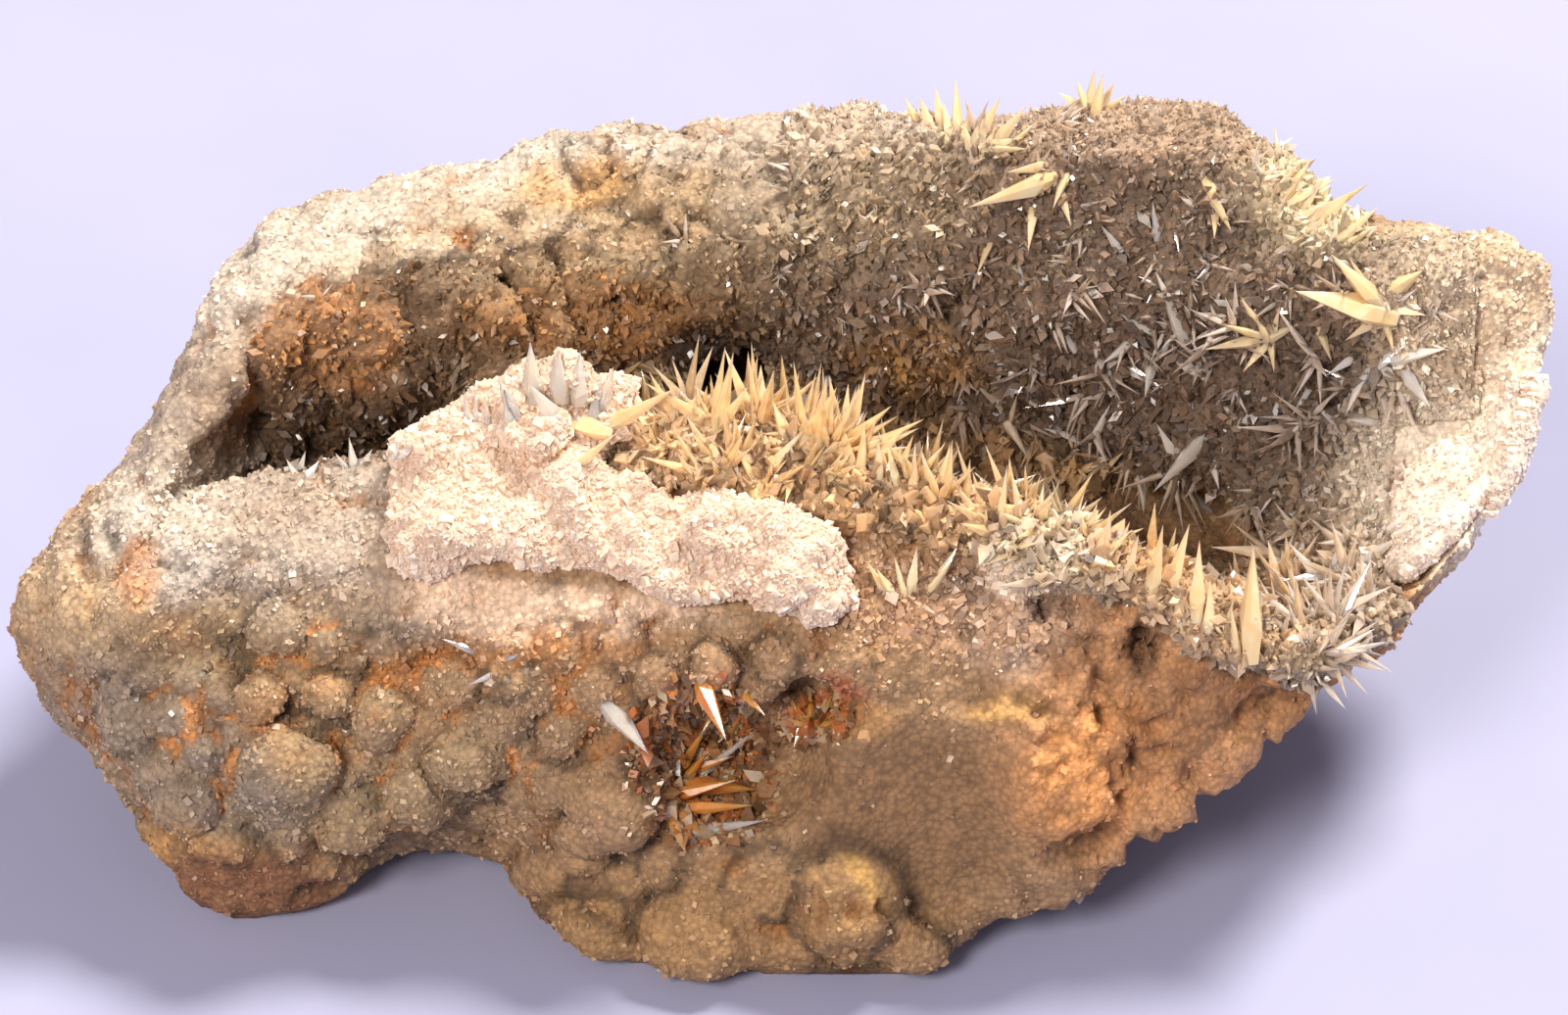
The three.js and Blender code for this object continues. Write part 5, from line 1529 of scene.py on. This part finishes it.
class GreatSpikes:
    """The spikes that are seen one by one: along the lip, on the walls, the rim and the right end."""

    GROUPS = (
        SpikeGroup("tall spikes at the lip's right", Spar.HONEY, 0.25, (
            (1276, 664, 1279, 556, 0.92), (1221, 625, 1224, 551, 0.6), (1197, 600, 1214, 534, 0.62),
            (1176, 600, 1187, 535, 0.6), (1233, 636, 1235, 591, 0.5), (1249, 646, 1260, 609, 0.4),
            (1285, 653, 1287, 601, 0.42), (1142, 562, 1153, 532, 0.3), (1150, 590, 1162, 545, 0.4),
            (1206, 640, 1201, 590, 0.42), (1262, 660, 1256, 618, 0.36), (1128, 560, 1133, 520, 0.34),
        )),
        SpikeGroup("spikes of the right hollow", Spar.SMOKY, 0.3, (
            (1300, 600, 1321, 542, 0.45), (1346, 590, 1314, 553, 0.4), (1360, 583, 1372, 541, 0.4),
            (1360, 583, 1421, 557, 0.45), (1350, 588, 1309, 592, 0.35), (1340, 600, 1299, 632, 0.35),
            (1360, 595, 1353, 630, 0.32), (1365, 592, 1417, 608, 0.4), (1330, 610, 1310, 650, 0.34),
            (1385, 600, 1410, 635, 0.34), (1345, 620, 1370, 655, 0.3), (1395, 570, 1432, 545, 0.4),
        )),
        SpikeGroup("high spikes of the lip", Spar.HONEY, 0.2, (
            (1074, 512, 1099, 439, 0.55), (1086, 511, 1122, 494, 0.42), (1068, 502, 1110, 458, 0.4),
            (1063, 518, 1065, 486, 0.34), (1100, 520, 1118, 478, 0.36), (1040, 520, 1032, 482, 0.36),
            (1020, 524, 1028, 474, 0.34), (1004, 520, 992, 480, 0.34), (985, 512, 990, 468, 0.36),
            (966, 506, 972, 448, 0.4), (950, 500, 940, 458, 0.34), (930, 498, 934, 452, 0.34),
            (914, 492, 905, 452, 0.34), (898, 488, 896, 446, 0.36), (1110, 545, 1120, 512, 0.34),
        )),
        SpikeGroup("left spikes of the lip", Spar.HONEY, 0.25, (
            (762, 425, 773, 363, 0.5), (742, 424, 707, 393, 0.45), (821, 452, 854, 395, 0.8),
            (629, 430, 692, 395, 0.6), (682, 434, 692, 400, 0.34), (612, 440, 549, 426, 0.75),
            (592, 472, 630, 441, 0.4), (570, 460, 546, 436, 0.4), (790, 476, 821, 438, 0.5),
            (775, 500, 748, 451, 0.42), (871, 478, 853, 416, 0.45), (878, 482, 882, 428, 0.4),
            (740, 440, 728, 404, 0.36), (800, 446, 788, 408, 0.42), (720, 456, 700, 424, 0.38),
            (655, 452, 640, 420, 0.4), (838, 470, 834, 432, 0.42), (700, 470, 712, 436, 0.36),
            (760, 462, 770, 428, 0.4), (815, 486, 806, 452, 0.4), (846, 492, 868, 462, 0.42),
            (745, 490, 722, 466, 0.36), (668, 470, 690, 446, 0.36),
        )),
        SpikeGroup("blunt pale crystals over the shelf", Spar.MILKY, 0.2, (
            (545, 400, 541, 348, 0.95), (572, 400, 570, 357, 1.0), (592, 402, 592, 358, 1.0),
            (615, 410, 626, 374, 0.9), (524, 420, 508, 384, 0.7), (520, 430, 514, 396, 0.6),
            (560, 420, 540, 392, 0.8), (606, 424, 612, 386, 0.8), (486, 428, 484, 396, 0.3),
            (478, 430, 473, 396, 0.3), (498, 432, 494, 400, 0.3),
        )),
        SpikeGroup("orange spikes of the back wall", Spar.HONEY, 0.45, (
            (1066, 184, 987, 212, 0.8), (1066, 168, 1026, 176, 0.42), (1082, 196, 1093, 231, 0.36),
            (1053, 216, 1049, 258, 0.36), (1038, 280, 1026, 242, 0.36), (1232, 188, 1257, 237, 0.5),
            (1240, 219, 1239, 244, 0.34), (1088, 180, 1074, 214, 0.34), (1010, 250, 996, 282, 0.3),
        )),
        SpikeGroup("grey spikes of the right wall", Spar.SMOKY, 0.4, (
            (1206, 341, 1179, 277, 0.7), (1170, 336, 1142, 320, 0.42), (1136, 368, 1162, 340, 0.42),
            (1206, 369, 1241, 395, 0.42), (1157, 379, 1187, 397, 0.4), (1188, 356, 1206, 330, 0.36),
            (1150, 352, 1124, 372, 0.36), (1175, 372, 1168, 406, 0.4), (1106, 451, 1064, 437, 0.42),
            (1224, 451, 1176, 503, 0.62), (1239, 474, 1244, 500, 0.36), (1214, 505, 1246, 530, 0.4),
            (1164, 484, 1167, 525, 0.36), (1120, 440, 1134, 410, 0.36), (1196, 460, 1180, 432, 0.4),
            (1094, 352, 1080, 322, 0.34), (1110, 300, 1098, 270, 0.34), (1060, 330, 1046, 300, 0.3),
            (1270, 430, 1292, 404, 0.4), (1256, 420, 1240, 388, 0.36), (1180, 240, 1176, 206, 0.34),
            (1140, 250, 1122, 228, 0.34), (1200, 420, 1224, 414, 0.4), (1130, 402, 1102, 408, 0.36),
            (1044, 290, 1036, 252, 0.4), (1080, 400, 1064, 376, 0.34),
        )),
        SpikeGroup("star of the right wall", Spar.HONEY, 0.4, (
            (1293, 345, 1265, 302, 0.5), (1297, 345, 1331, 328, 0.45), (1284, 348, 1228, 357, 0.45),
            (1292, 352, 1268, 380, 0.36), (1298, 352, 1300, 380, 0.34), (1288, 343, 1244, 330, 0.34),
            (1300, 340, 1306, 312, 0.34),
        )),
        SpikeGroup("great star near the right end", Spar.HONEY, 0.35, (
            (1411, 322, 1321, 297, 1.05), (1400, 305, 1358, 259, 0.72), (1408, 310, 1376, 262, 0.5),
            (1425, 293, 1452, 276, 0.7), (1346, 337, 1359, 370, 0.4), (1398, 330, 1372, 348, 0.4),
            (1415, 330, 1422, 360, 0.36), (1428, 318, 1456, 322, 0.36),
        )),
        SpikeGroup("blade and spikes at the right", Spar.SMOKY, 0.35, (
            (1430, 366, 1476, 356, 0.6), (1436, 381, 1460, 417, 0.55), (1395, 379, 1373, 424, 0.42),
            (1400, 430, 1374, 428, 0.4), (1380, 366, 1352, 384, 0.34), (1410, 400, 1416, 432, 0.3),
            (1335, 400, 1318, 424, 0.34), (1350, 420, 1370, 446, 0.3), (1410, 372, 1440, 346, 0.36),
            (1424, 536, 1448, 520, 0.4), (1408, 544, 1440, 536, 0.34), (1430, 545, 1456, 540, 0.3),
        )),
        SpikeGroup("golden tuft of the back rim", Spar.HONEY, 0.1, (
            (960, 128, 954, 87, 0.42), (976, 130, 975, 79, 0.45), (968, 134, 962, 104, 0.4),
            (996, 144, 1021, 99, 0.55), (1002, 142, 1004, 110, 0.4), (1018, 142, 1048, 107, 0.5),
            (1020, 146, 1040, 114, 0.42), (1008, 150, 1045, 140, 0.45), (1016, 152, 1048, 152, 0.42),
            (985, 138, 990, 106, 0.42), (948, 126, 938, 98, 0.4), (934, 122, 922, 98, 0.36),
            (990, 150, 982, 124, 0.4), (1030, 150, 1058, 124, 0.4), (1004, 156, 1016, 128, 0.36),
            (964, 142, 946, 124, 0.36), (1020, 160, 1036, 160, 0.36),
        )),
        SpikeGroup("tuft at the rim's top", Spar.HONEY, 0.1, (
            (1112, 98, 1117, 69, 0.5), (1104, 100, 1080, 94, 0.5), (1120, 100, 1137, 84, 0.5),
            (1108, 96, 1098, 80, 0.45), (1118, 96, 1126, 74, 0.45), (1128, 102, 1152, 96, 0.4),
            (1110, 104, 1092, 104, 0.4), (1124, 106, 1132, 92, 0.4),
        )),
        SpikeGroup("fringe of the right rim", Spar.HONEY, 0.1, (
            (1314, 198, 1338, 163, 0.5), (1323, 204, 1364, 182, 0.5), (1340, 222, 1397, 187, 0.55),
            (1362, 234, 1395, 219, 0.45), (1306, 190, 1326, 166, 0.42), (1332, 212, 1352, 178, 0.42),
            (1350, 226, 1380, 196, 0.42), (1372, 240, 1408, 210, 0.42), (1354, 234, 1384, 226, 0.36),
            (1330, 220, 1362, 204, 0.4), (1300, 196, 1310, 172, 0.36), (1380, 246, 1402, 232, 0.36),
        )),
        SpikeGroup("small spikes at the trough's left", Spar.SMOKY, 0.2, (
            (306, 482, 312, 460, 0.4), (300, 484, 292, 468, 0.34), (316, 484, 326, 470, 0.34),
            (360, 474, 356, 446, 0.34), (352, 476, 342, 462, 0.3), (372, 472, 380, 458, 0.3),
            (404, 462, 410, 448, 0.3), (414, 462, 424, 452, 0.3),
        )),
        SpikeGroup("pale slivers under the shelf", Spar.MILKY, 0.2, (
            (480, 664, 450, 652, 0.36), (520, 672, 540, 664, 0.3), (500, 690, 476, 700, 0.3),
        )),
        SpikeGroup("golden spikes under the ridge", Spar.HONEY, 0.2, (
            (930, 600, 936, 556, 0.42), (910, 606, 894, 580, 0.36), (952, 598, 972, 572, 0.36),
            (922, 604, 912, 566, 0.36), (960, 588, 978, 556, 0.34), (900, 600, 884, 572, 0.34),
        )),
    )

    POCKET = (
        SpikeGroup("pale spikes of the pocket", Spar.MILKY, 0.15, (
            (624, 726, 662, 770, 0.95), (718, 848, 783, 837, 0.62), (712, 792, 775, 743, 0.42),
        )),
        SpikeGroup("orange sheaf of the pocket", Spar.RUST, 0.3, (
            (694, 774, 656, 733, 0.6), (719, 703, 741, 755, 0.75), (699, 776, 712, 724, 0.5),
            (694, 781, 723, 739, 0.5), (691, 768, 684, 722, 0.5), (751, 740, 755, 706, 0.36),
            (744, 746, 790, 700, 0.36), (758, 708, 781, 731, 0.36), (712, 772, 740, 752, 0.4),
            (701, 794, 722, 766, 0.4), (700, 800, 772, 806, 0.75), (703, 818, 734, 834, 0.5),
            (695, 829, 722, 858, 0.5), (676, 806, 658, 778, 0.45), (690, 812, 752, 796, 0.5),
            (698, 824, 770, 822, 0.5), (688, 840, 700, 872, 0.42), (680, 796, 668, 752, 0.42),
            (706, 842, 742, 852, 0.45), (735, 716, 716, 748, 0.4), (704, 786, 748, 772, 0.42),
        )),
        SpikeGroup("rust clump beside the pocket", Spar.RUST, 0.25, (
            (820, 736, 806, 712, 0.36), (828, 734, 826, 704, 0.4), (836, 736, 850, 708, 0.4),
            (842, 740, 866, 728, 0.36), (824, 742, 802, 732, 0.36), (832, 742, 842, 758, 0.34),
            (818, 744, 810, 762, 0.34), (846, 736, 858, 716, 0.34),
        )),
    )

    SEAT_STEPS = 12
    SEAT_STEP = 3.0
    STOUTNESS = {Spar.HONEY: 1.3, Spar.SMOKY: 1.3, Spar.MILKY: 1.1, Spar.RUST: 1.3}

    def __init__(self, view: DisplayView, ground: Surface) -> None:
        """Readies the seating of spikes.

        Args:
            view: The display view.
            ground: Everything that spikes grow on.
        """
        self.view = view
        self.tree = ground.tree()
        self.random = np.random.default_rng(SEED + 3)

    def seat(self, column: float, row: float) -> Optional[Tuple[np.ndarray, np.ndarray]]:
        """Finds the place on the specimen that is seen at a column and row, or up to 33 rows below.

        Args:
            column: Column of the view.
            row: Row of the view.

        Returns:
            The place in mm and the normal there, or None.
        """
        for step in range(self.SEAT_STEPS):
            origin, direction = self.view.sight(column, row + self.SEAT_STEP * step)
            place, normal, _, _ = self.tree.ray_cast(Vector(origin), Vector(direction))
            if place is not None:
                return np.array(place), np.array(normal)
        return None

    def grow(self, groups: Sequence[SpikeGroup], name: str) -> Dict[Spar, bpy.types.Object]:
        """Grows the spikes of some groups.

        Args:
            groups: The groups.
            name: Start of the objects' names.

        Returns:
            One object per kind of spar. The tip of a spike lies on the sight line of its column and row, at
            the root's depth less the lean's share of its seen length. Its radius is the row's, times the
            stoutness of its spar.
        """
        grown: Dict[Spar, List[Tuple[np.ndarray, np.ndarray, float]]] = {}
        for group in groups:
            for root_column, root_row, tip_column, tip_row, radius in group.rows:
                seat = self.seat(root_column, root_row)
                if seat is None:
                    LOG.warning("%s: nothing to grow on at %s, %s", group.name, root_column, root_row)
                    continue
                root = seat[0]
                depth = -(root - self.view.eye) @ self.view.back
                origin, direction = self.view.sight(tip_column, tip_row)
                reach = direction * depth / -(direction @ self.view.back)
                flat = origin + reach
                length = np.linalg.norm(flat - root)
                tip = origin + reach * (1.0 - group.lean * self.random.uniform(0.5, 1.4) * length / depth)
                radius *= self.STOUTNESS[group.spar]
                sunk = root - unit(tip - root) * (0.5 + 0.5 * radius)
                grown.setdefault(group.spar, []).append((sunk, tip, radius))
        result = {}
        for spar, rows in grown.items():
            roots, tips, radii = (np.array(column) for column in zip(*rows))
            made = Crystals.spikes(roots, tips, radii, self.random)
            result[spar] = made.to_object(f"{name}_{spar.name.lower()}", False)
        return result


SPAR_FINISHES = {
    Spar.HONEY: ClearFinish(
        name="honey_spar",
        skin=linear(255, 232, 190),
        skin_deep=linear(255, 206, 142),
        absorption=(1.0, 0.74, 0.38),
        density=160.0,
        roughness=0.06,
        transmission=0.3,
        glow=0.5,
    ),
    Spar.SMOKY: ClearFinish(
        name="smoky_spar",
        skin=linear(255, 246, 234),
        skin_deep=linear(240, 222, 202),
        absorption=(0.96, 0.88, 0.78),
        density=80.0,
        roughness=0.06,
        transmission=0.4,
        glow=0.5,
    ),
    Spar.MILKY: ClearFinish(
        name="milky_spar",
        skin=linear(252, 240, 226),
        skin_deep=linear(246, 228, 208),
        absorption=(0.95, 0.88, 0.76),
        density=120.0,
        roughness=0.16,
        transmission=0.55,
    ),
    Spar.RUST: ClearFinish(
        name="rust_spar",
        skin=linear(250, 176, 92),
        skin_deep=linear(230, 130, 52),
        absorption=(0.96, 0.62, 0.24),
        density=260.0,
        roughness=0.14,
        transmission=0.35,
    ),
}


@dataclass(frozen=True)
class MassSizes:
    """Sizes of a white calcite mass and of its grains."""

    voxel: float
    relief: float
    relief_size: float
    grain: float
    grain_spread: float
    grains: int
    swell: float = 0.3


SHELF_SIZES = MassSizes(voxel=0.5, relief=1.4, relief_size=4.4, grain=0.25, grain_spread=0.5, grains=12500)
END_SIZES = MassSizes(
    voxel=0.45, relief=0.3, relief_size=3.0, grain=0.28, grain_spread=0.3, grains=900, swell=0.9
)
SHELF_FINISH = WhiteFinish(
    name="sugary_calcite",
    light=linear(250, 222, 192),
    shaded=linear(240, 202, 168),
    stain=linear(206, 156, 114),
    stain_share=0.6,
    grain=0.6,
    roughness=0.35,
)
END_FINISH = WhiteFinish(
    name="massive_calcite",
    light=linear(246, 222, 198),
    shaded=linear(232, 204, 178),
    stain=linear(222, 150, 84),
    stain_share=0.55,
    grain=0.5,
    roughness=0.42,
)


class WhiteMass:
    """A mass of white calcite on the rock, with its broken grains."""

    def __init__(self, node: bpy.types.Object, view: DisplayView, sizes: MassSizes, seed: int) -> None:
        """Keeps what the mass is made from.

        Args:
            node: The CAD node of the mass.
            view: The display view.
            sizes: Its sizes.
            seed: Which noise and which scatter it takes.
        """
        self.node = node
        self.view = view
        self.sizes = sizes
        self.seed = seed
        self.random = np.random.default_rng(SEED + seed)
        self.surface: Optional[Surface] = None

    def build(self) -> "WhiteMass":
        """Shapes the mass.

        Returns:
            The mass itself: its even surface, eased and swollen, with layered noise along the normals.
        """
        even = Surface.of_node(self.node, self.sizes.voxel)
        points = even.spread(even.points, 3, 0.5)
        self.surface = Surface(points, even.faces)
        sizes = self.sizes
        lift = sizes.swell + sizes.relief * Noise.layered(points, sizes.relief_size, 4, self.seed)
        near, own = Noise.cells(points, sizes.relief_size * 0.8, self.seed + 5)
        lift += sizes.relief * (own - 0.5) * smoothstep(0.9, 0.2, near)
        self.surface = Surface(points + self.surface.normals() * lift[:, None], even.faces)
        return self

    def dress(self, name: str, finish: WhiteFinish) -> bpy.types.Object:
        """Makes the mass and its grains one object.

        Args:
            name: Name of the object.
            finish: The finish of the mass.

        Returns:
            The object.
        """
        facing = self.surface.face_normals() @ self.view.back
        weights = np.where(facing > 0, 1.0, 0.25)
        places, normals, _ = Scatter(self.surface, weights, self.random).pick(self.sizes.grains)
        sizes = self.random.lognormal(math.log(self.sizes.grain), self.sizes.grain_spread, self.sizes.grains)
        sizes = np.minimum(sizes, 0.9)
        rhombs = Crystals.rhombs(places - normals * (sizes * 0.2)[:, None], sizes, self.random)
        made = Surface.joined([self.surface, rhombs]).to_object(name, False)
        made.data.materials.append(finish.make())
        return made


class PocketBed:
    """The low stained bed from which the crystals of the front pocket grow."""

    GRAINS = 1500
    TONES = np.array([linear(168, 120, 74), linear(128, 94, 62), linear(196, 168, 132), linear(184, 108, 56)])

    def __init__(self, node: bpy.types.Object, rock: RockBody, view: DisplayView) -> None:
        """Keeps what the bed is made from.

        Args:
            node: The CAD node of the pocket's crystals; not used.
            rock: The built rock.
            view: The display view.
        """
        self.node = node
        self.rock = rock
        self.view = view
        self.random = np.random.default_rng(SEED + 9)

    def build(self) -> Surface:
        """Scatters stained rhombs and stubs over the pocket's wall.

        Returns:
            The grains of the bed.
        """
        rock = self.rock.surface
        middle = rock.points[rock.faces].mean(axis=1)
        seen = self.view.seen_at(middle)
        facing = rock.face_normals() @ self.view.back
        inside = Zone(715, 780, 70, 80, 0, 0.25).weight(seen) + Zone(832, 732, 40, 26, 0, 0.3).weight(seen)
        weights = inside * (facing > 0)
        places, normals, _ = Scatter(rock, weights, self.random).pick(self.GRAINS)
        sizes = self.random.lognormal(math.log(0.32), 0.4, self.GRAINS)
        lean = unit(normals + self.random.normal(0.0, 0.5, (self.GRAINS, 3)))
        return Crystals.stubs(places, lean, sizes, self.random)

    def dress(self, grains: Surface) -> bpy.types.Object:
        """Makes the bed's object.

        Args:
            grains: The built grains.

        Returns:
            The object.
        """
        tones = self.TONES[self.random.integers(0, len(self.TONES), self.GRAINS)]
        shades = tones * self.random.uniform(0.7, 1.2, (self.GRAINS, 1))
        made = grains.to_object("pocket_grains", False, np.repeat(shades, Crystals.BOX_POINTS, axis=0))
        made.data.materials.append(DruseFinish("pocket_druse", roughness=0.3, clearness=0.2).make())
        return made


class SkinGrains:
    """The sugary grit of tiny calcite grains on the rock outside the hollow."""

    def __init__(self, rock: RockBody, view: DisplayView) -> None:
        """Keeps what the grit lies on.

        Args:
            rock: The built rock.
            view: The display view.
        """
        self.rock = rock
        self.view = view
        self.random = np.random.default_rng(SEED + 12)

    def build(self, count: int, name: str, finish: DruseFinish) -> bpy.types.Object:
        """Scatters the grit, denser on the crest, the lip and the lumps.

        Args:
            count: How many grains.
            name: Name of the object.
            finish: Their finish.

        Returns:
            The object with all of them.
        """
        rock = self.rock.surface
        middle = rock.points[rock.faces].mean(axis=1)
        seen = self.view.seen_at(middle)
        facing = unit(rock.face_normals()) @ self.view.back
        crest = Zone(470, 230, 330, 110, -14).weight(seen)
        lip = Zone(260, 540, 240, 80, -8).weight(seen)
        lumps = Zone(330, 740, 280, 140).weight(seen)
        over = Zone(640, 680, 260, 70).weight(seen)
        end = Zone(1490, 320, 120, 130).weight(seen)
        smooth_face = Zone(935, 835, 130, 95, 10).weight(seen)
        orange = Zone(1190, 740, 190, 200, -40).weight(seen)
        druse = Zone(980, 610, 150, 60, 6).weight(seen)
        weights = 0.45 + 0.5 * crest + 1.4 * lip + 0.8 * lumps + 0.8 * over + 1.6 * end + 2.5 * druse
        weights *= (1.0 - 0.9 * smooth_face) * (1.0 - 0.7 * orange)
        weights *= smoothstep(-0.6, 0.0, facing) * 0.85 + 0.15
        weights *= middle[:, 2] > 1.5
        places, normals, chosen = Scatter(rock, weights, self.random).pick(count)
        shades = self.rock.colours()[rock.faces[chosen, 0]]
        shades = shades * self.random.uniform(0.85, 1.3, (count, 1)) + 0.01
        sizes = np.minimum(self.random.lognormal(math.log(0.25), 0.38, count), 0.55)
        sizes = sizes * (1.0 + 0.5 * druse[chosen])
        made = Crystals.rhombs(places - normals * (sizes * 0.05)[:, None], sizes, self.random)
        tints = np.repeat(np.clip(shades, 0, 0.95), Crystals.BOX_POINTS, axis=0)
        result = made.to_object(name, False, tints)
        result.data.materials.append(finish.make())
        return result


@dataclass(frozen=True)
class Studio:
    """A pale table under soft light, seen in the display view."""

    view: DisplayView
    sensor: float = 36.0
    table_size: float = 4.0

    def camera(self) -> bpy.types.Object:
        """Places the camera in the display view.

        Returns:
            The camera. Its lens is the sensor's width times the distance over the width that is seen there.
        """
        data = bpy.data.cameras.new("display")
        data.sensor_width = self.sensor
        data.sensor_fit = "HORIZONTAL"
        width = self.view.columns / self.view.columns_per_mm
        data.lens = self.sensor * self.view.distance / width
        data.clip_start, data.clip_end = 0.05, 20.0
        made = bpy.data.objects.new("display", data)
        axes = Matrix([self.view.right, self.view.up, self.view.back]).transposed()
        made.matrix_world = Matrix.Translation(Vector(self.view.eye * METRES_PER_MM)) @ axes.to_4x4()
        bpy.context.scene.collection.objects.link(made)
        bpy.context.scene.camera = made
        return made

    def table(self) -> bpy.types.Object:
        """Lays the pale table under the specimen.

        Returns:
            The table.
        """
        half = self.table_size / 2 / METRES_PER_MM
        corners = np.array([(-half, -half, 0.0), (half, -half, 0.0), (half, half, 0.0), (-half, half, 0.0)])
        made = Surface(corners, np.array([(0, 1, 2, 3)])).to_object("table", False)
        made.data.materials.append(TableFinish().make())
        made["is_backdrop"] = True
        return made

    @staticmethod
    def lamp(
        name: str, towards: Sequence[float], reach: float, size: float, power: float, tone: Colour
    ) -> None:
        """Hangs one soft lamp.

        Args:
            name: Name of the lamp.
            towards: Direction from the specimen to the lamp.
            reach: Distance in metres.
            size: Width of the lamp in metres.
            power: Power in watts.
            tone: Colour of the light.
        """
        data = bpy.data.lights.new(name, "AREA")
        data.shape = "DISK"
        data.size = size
        data.energy = power
        data.color = tone
        made = bpy.data.objects.new(name, data)
        direction = Vector(towards).normalized()
        made.location = direction * reach
        made.rotation_mode = "QUATERNION"
        made.rotation_quaternion = direction.to_track_quat("Z", "Y")
        bpy.context.scene.collection.objects.link(made)

    def light(self) -> None:
        """Lights the table: one sunny lamp from the back right, a weak one in front, and pale air."""
        self.lamp("sun", (0.5, 0.42, 1.1), 1.6, 0.4, 46.0, (1.0, 0.95, 0.87))
        self.lamp("front", (-0.55, -0.9, 1.0), 1.5, 0.5, 20.0, (1.0, 0.93, 0.86))
        world = bpy.data.worlds.new("air")
        world.use_nodes = True
        background = world.node_tree.nodes["Background"]
        background.inputs["Color"].default_value = (*linear(222, 217, 231), 1.0)
        background.inputs["Strength"].default_value = 0.58
        bpy.context.scene.world = world

    def set_up(self) -> None:
        """Makes the whole studio."""
        self.camera()
        self.table()
        self.light()
        bpy.context.scene.view_settings.view_transform = "Standard"


def note_size(stage: str, sizes: Dict[str, List[List[float]]]) -> None:
    """Args:
        stage: When the size was taken.
        sizes: All sizes so far, which this adds to.
    """
    low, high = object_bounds()
    sizes[stage] = [list(low), list(high)]


@dataclass(frozen=True)
class Fineness:
    """How finely the rock is meshed, in mm, and how many grains and needles it carries."""

    voxel: float
    skin_grains: int
    bed_grains: int
    needles: int


FULL = Fineness(voxel=0.66, skin_grains=14000, bed_grains=16000, needles=4200)
HALVES = ("one", "two")


def settle(pieces: Sequence[bpy.types.Object]) -> None:
    """Puts pieces on the specimen's body.

    Args:
        pieces: The pieces.
    """
    for piece in pieces:
        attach(piece, "root")


def main() -> None:
    """Builds the specimen's looks piece by piece and sets up the studio."""
    logging.basicConfig(level=logging.INFO)
    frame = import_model()
    nodes = frame["nodes"]
    sizes: Dict[str, List[List[float]]] = {}
    note_size("frame", sizes)
    view = DisplayView()
    fineness = FULL

    rock = RockBody(nodes["host_rock"], view, fineness.voxel).build()
    skin = rock.dress(RockFinish())
    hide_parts("host_rock")
    scatter, grit = SkinGrains(rock, view), DruseFinish("skin_druse", roughness=0.45, clearness=0.1)
    sugar = [scatter.build(fineness.skin_grains, f"skin_grains_{part}", grit) for part in HALVES]
    settle([skin, *sugar])
    LOG.info("rock done")

    bed = CrystalBed(nodes["vug_crystal_crust"], rock, view).build()
    lining = bed.dress(RockFinish("bed_stone", roughness=0.7, grain=0.6, sparkle=0.5))
    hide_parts("vug_crystal_crust")
    bed_druse = DruseFinish("bed_druse", roughness=0.32, clearness=0.15, glow=0.3)
    grains = [bed.grains(fineness.bed_grains, f"bed_grains_{part}", bed_druse) for part in HALVES]
    needle_druse = DruseFinish("needle_druse", roughness=0.1, clearness=0.2, glow=0.5)
    needles = bed.needles(fineness.needles, needle_druse)
    settle([lining, *grains, needles])
    LOG.info("bed done")

    shelf = WhiteMass(nodes["white_calcite_shelf"], view, SHELF_SIZES, seed=40).build()
    shelf_piece = shelf.dress("white_shelf", SHELF_FINISH)
    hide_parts("white_calcite_shelf")
    settle([shelf_piece])
    end = WhiteMass(nodes["white_calcite_end"], view, END_SIZES, seed=60).build()
    end_piece = end.dress("white_end", END_FINISH)
    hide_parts("white_calcite_end")
    settle([end_piece])
    LOG.info("white calcite done")

    ground = Surface.joined([rock.surface, bed.surface, shelf.surface, end.surface])
    spikes = GreatSpikes(view, ground)
    for spar, piece in spikes.grow(GreatSpikes.GROUPS, "spikes").items():
        piece.data.materials.append(SPAR_FINISHES[spar].make())
        settle([piece])
    pocket = PocketBed(nodes["pocket_crystal_cluster"], rock, view)
    pocket_piece = pocket.dress(pocket.build())
    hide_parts("pocket_crystal_cluster")
    settle([pocket_piece])
    for spar, piece in spikes.grow(GreatSpikes.POCKET, "pocket").items():
        piece.data.materials.append(SPAR_FINISHES[spar].make())
        settle([piece])
    LOG.info("spikes done")

    Studio(view).set_up()
    note_size("finished", sizes)


if __name__ == "__main__":
    main()
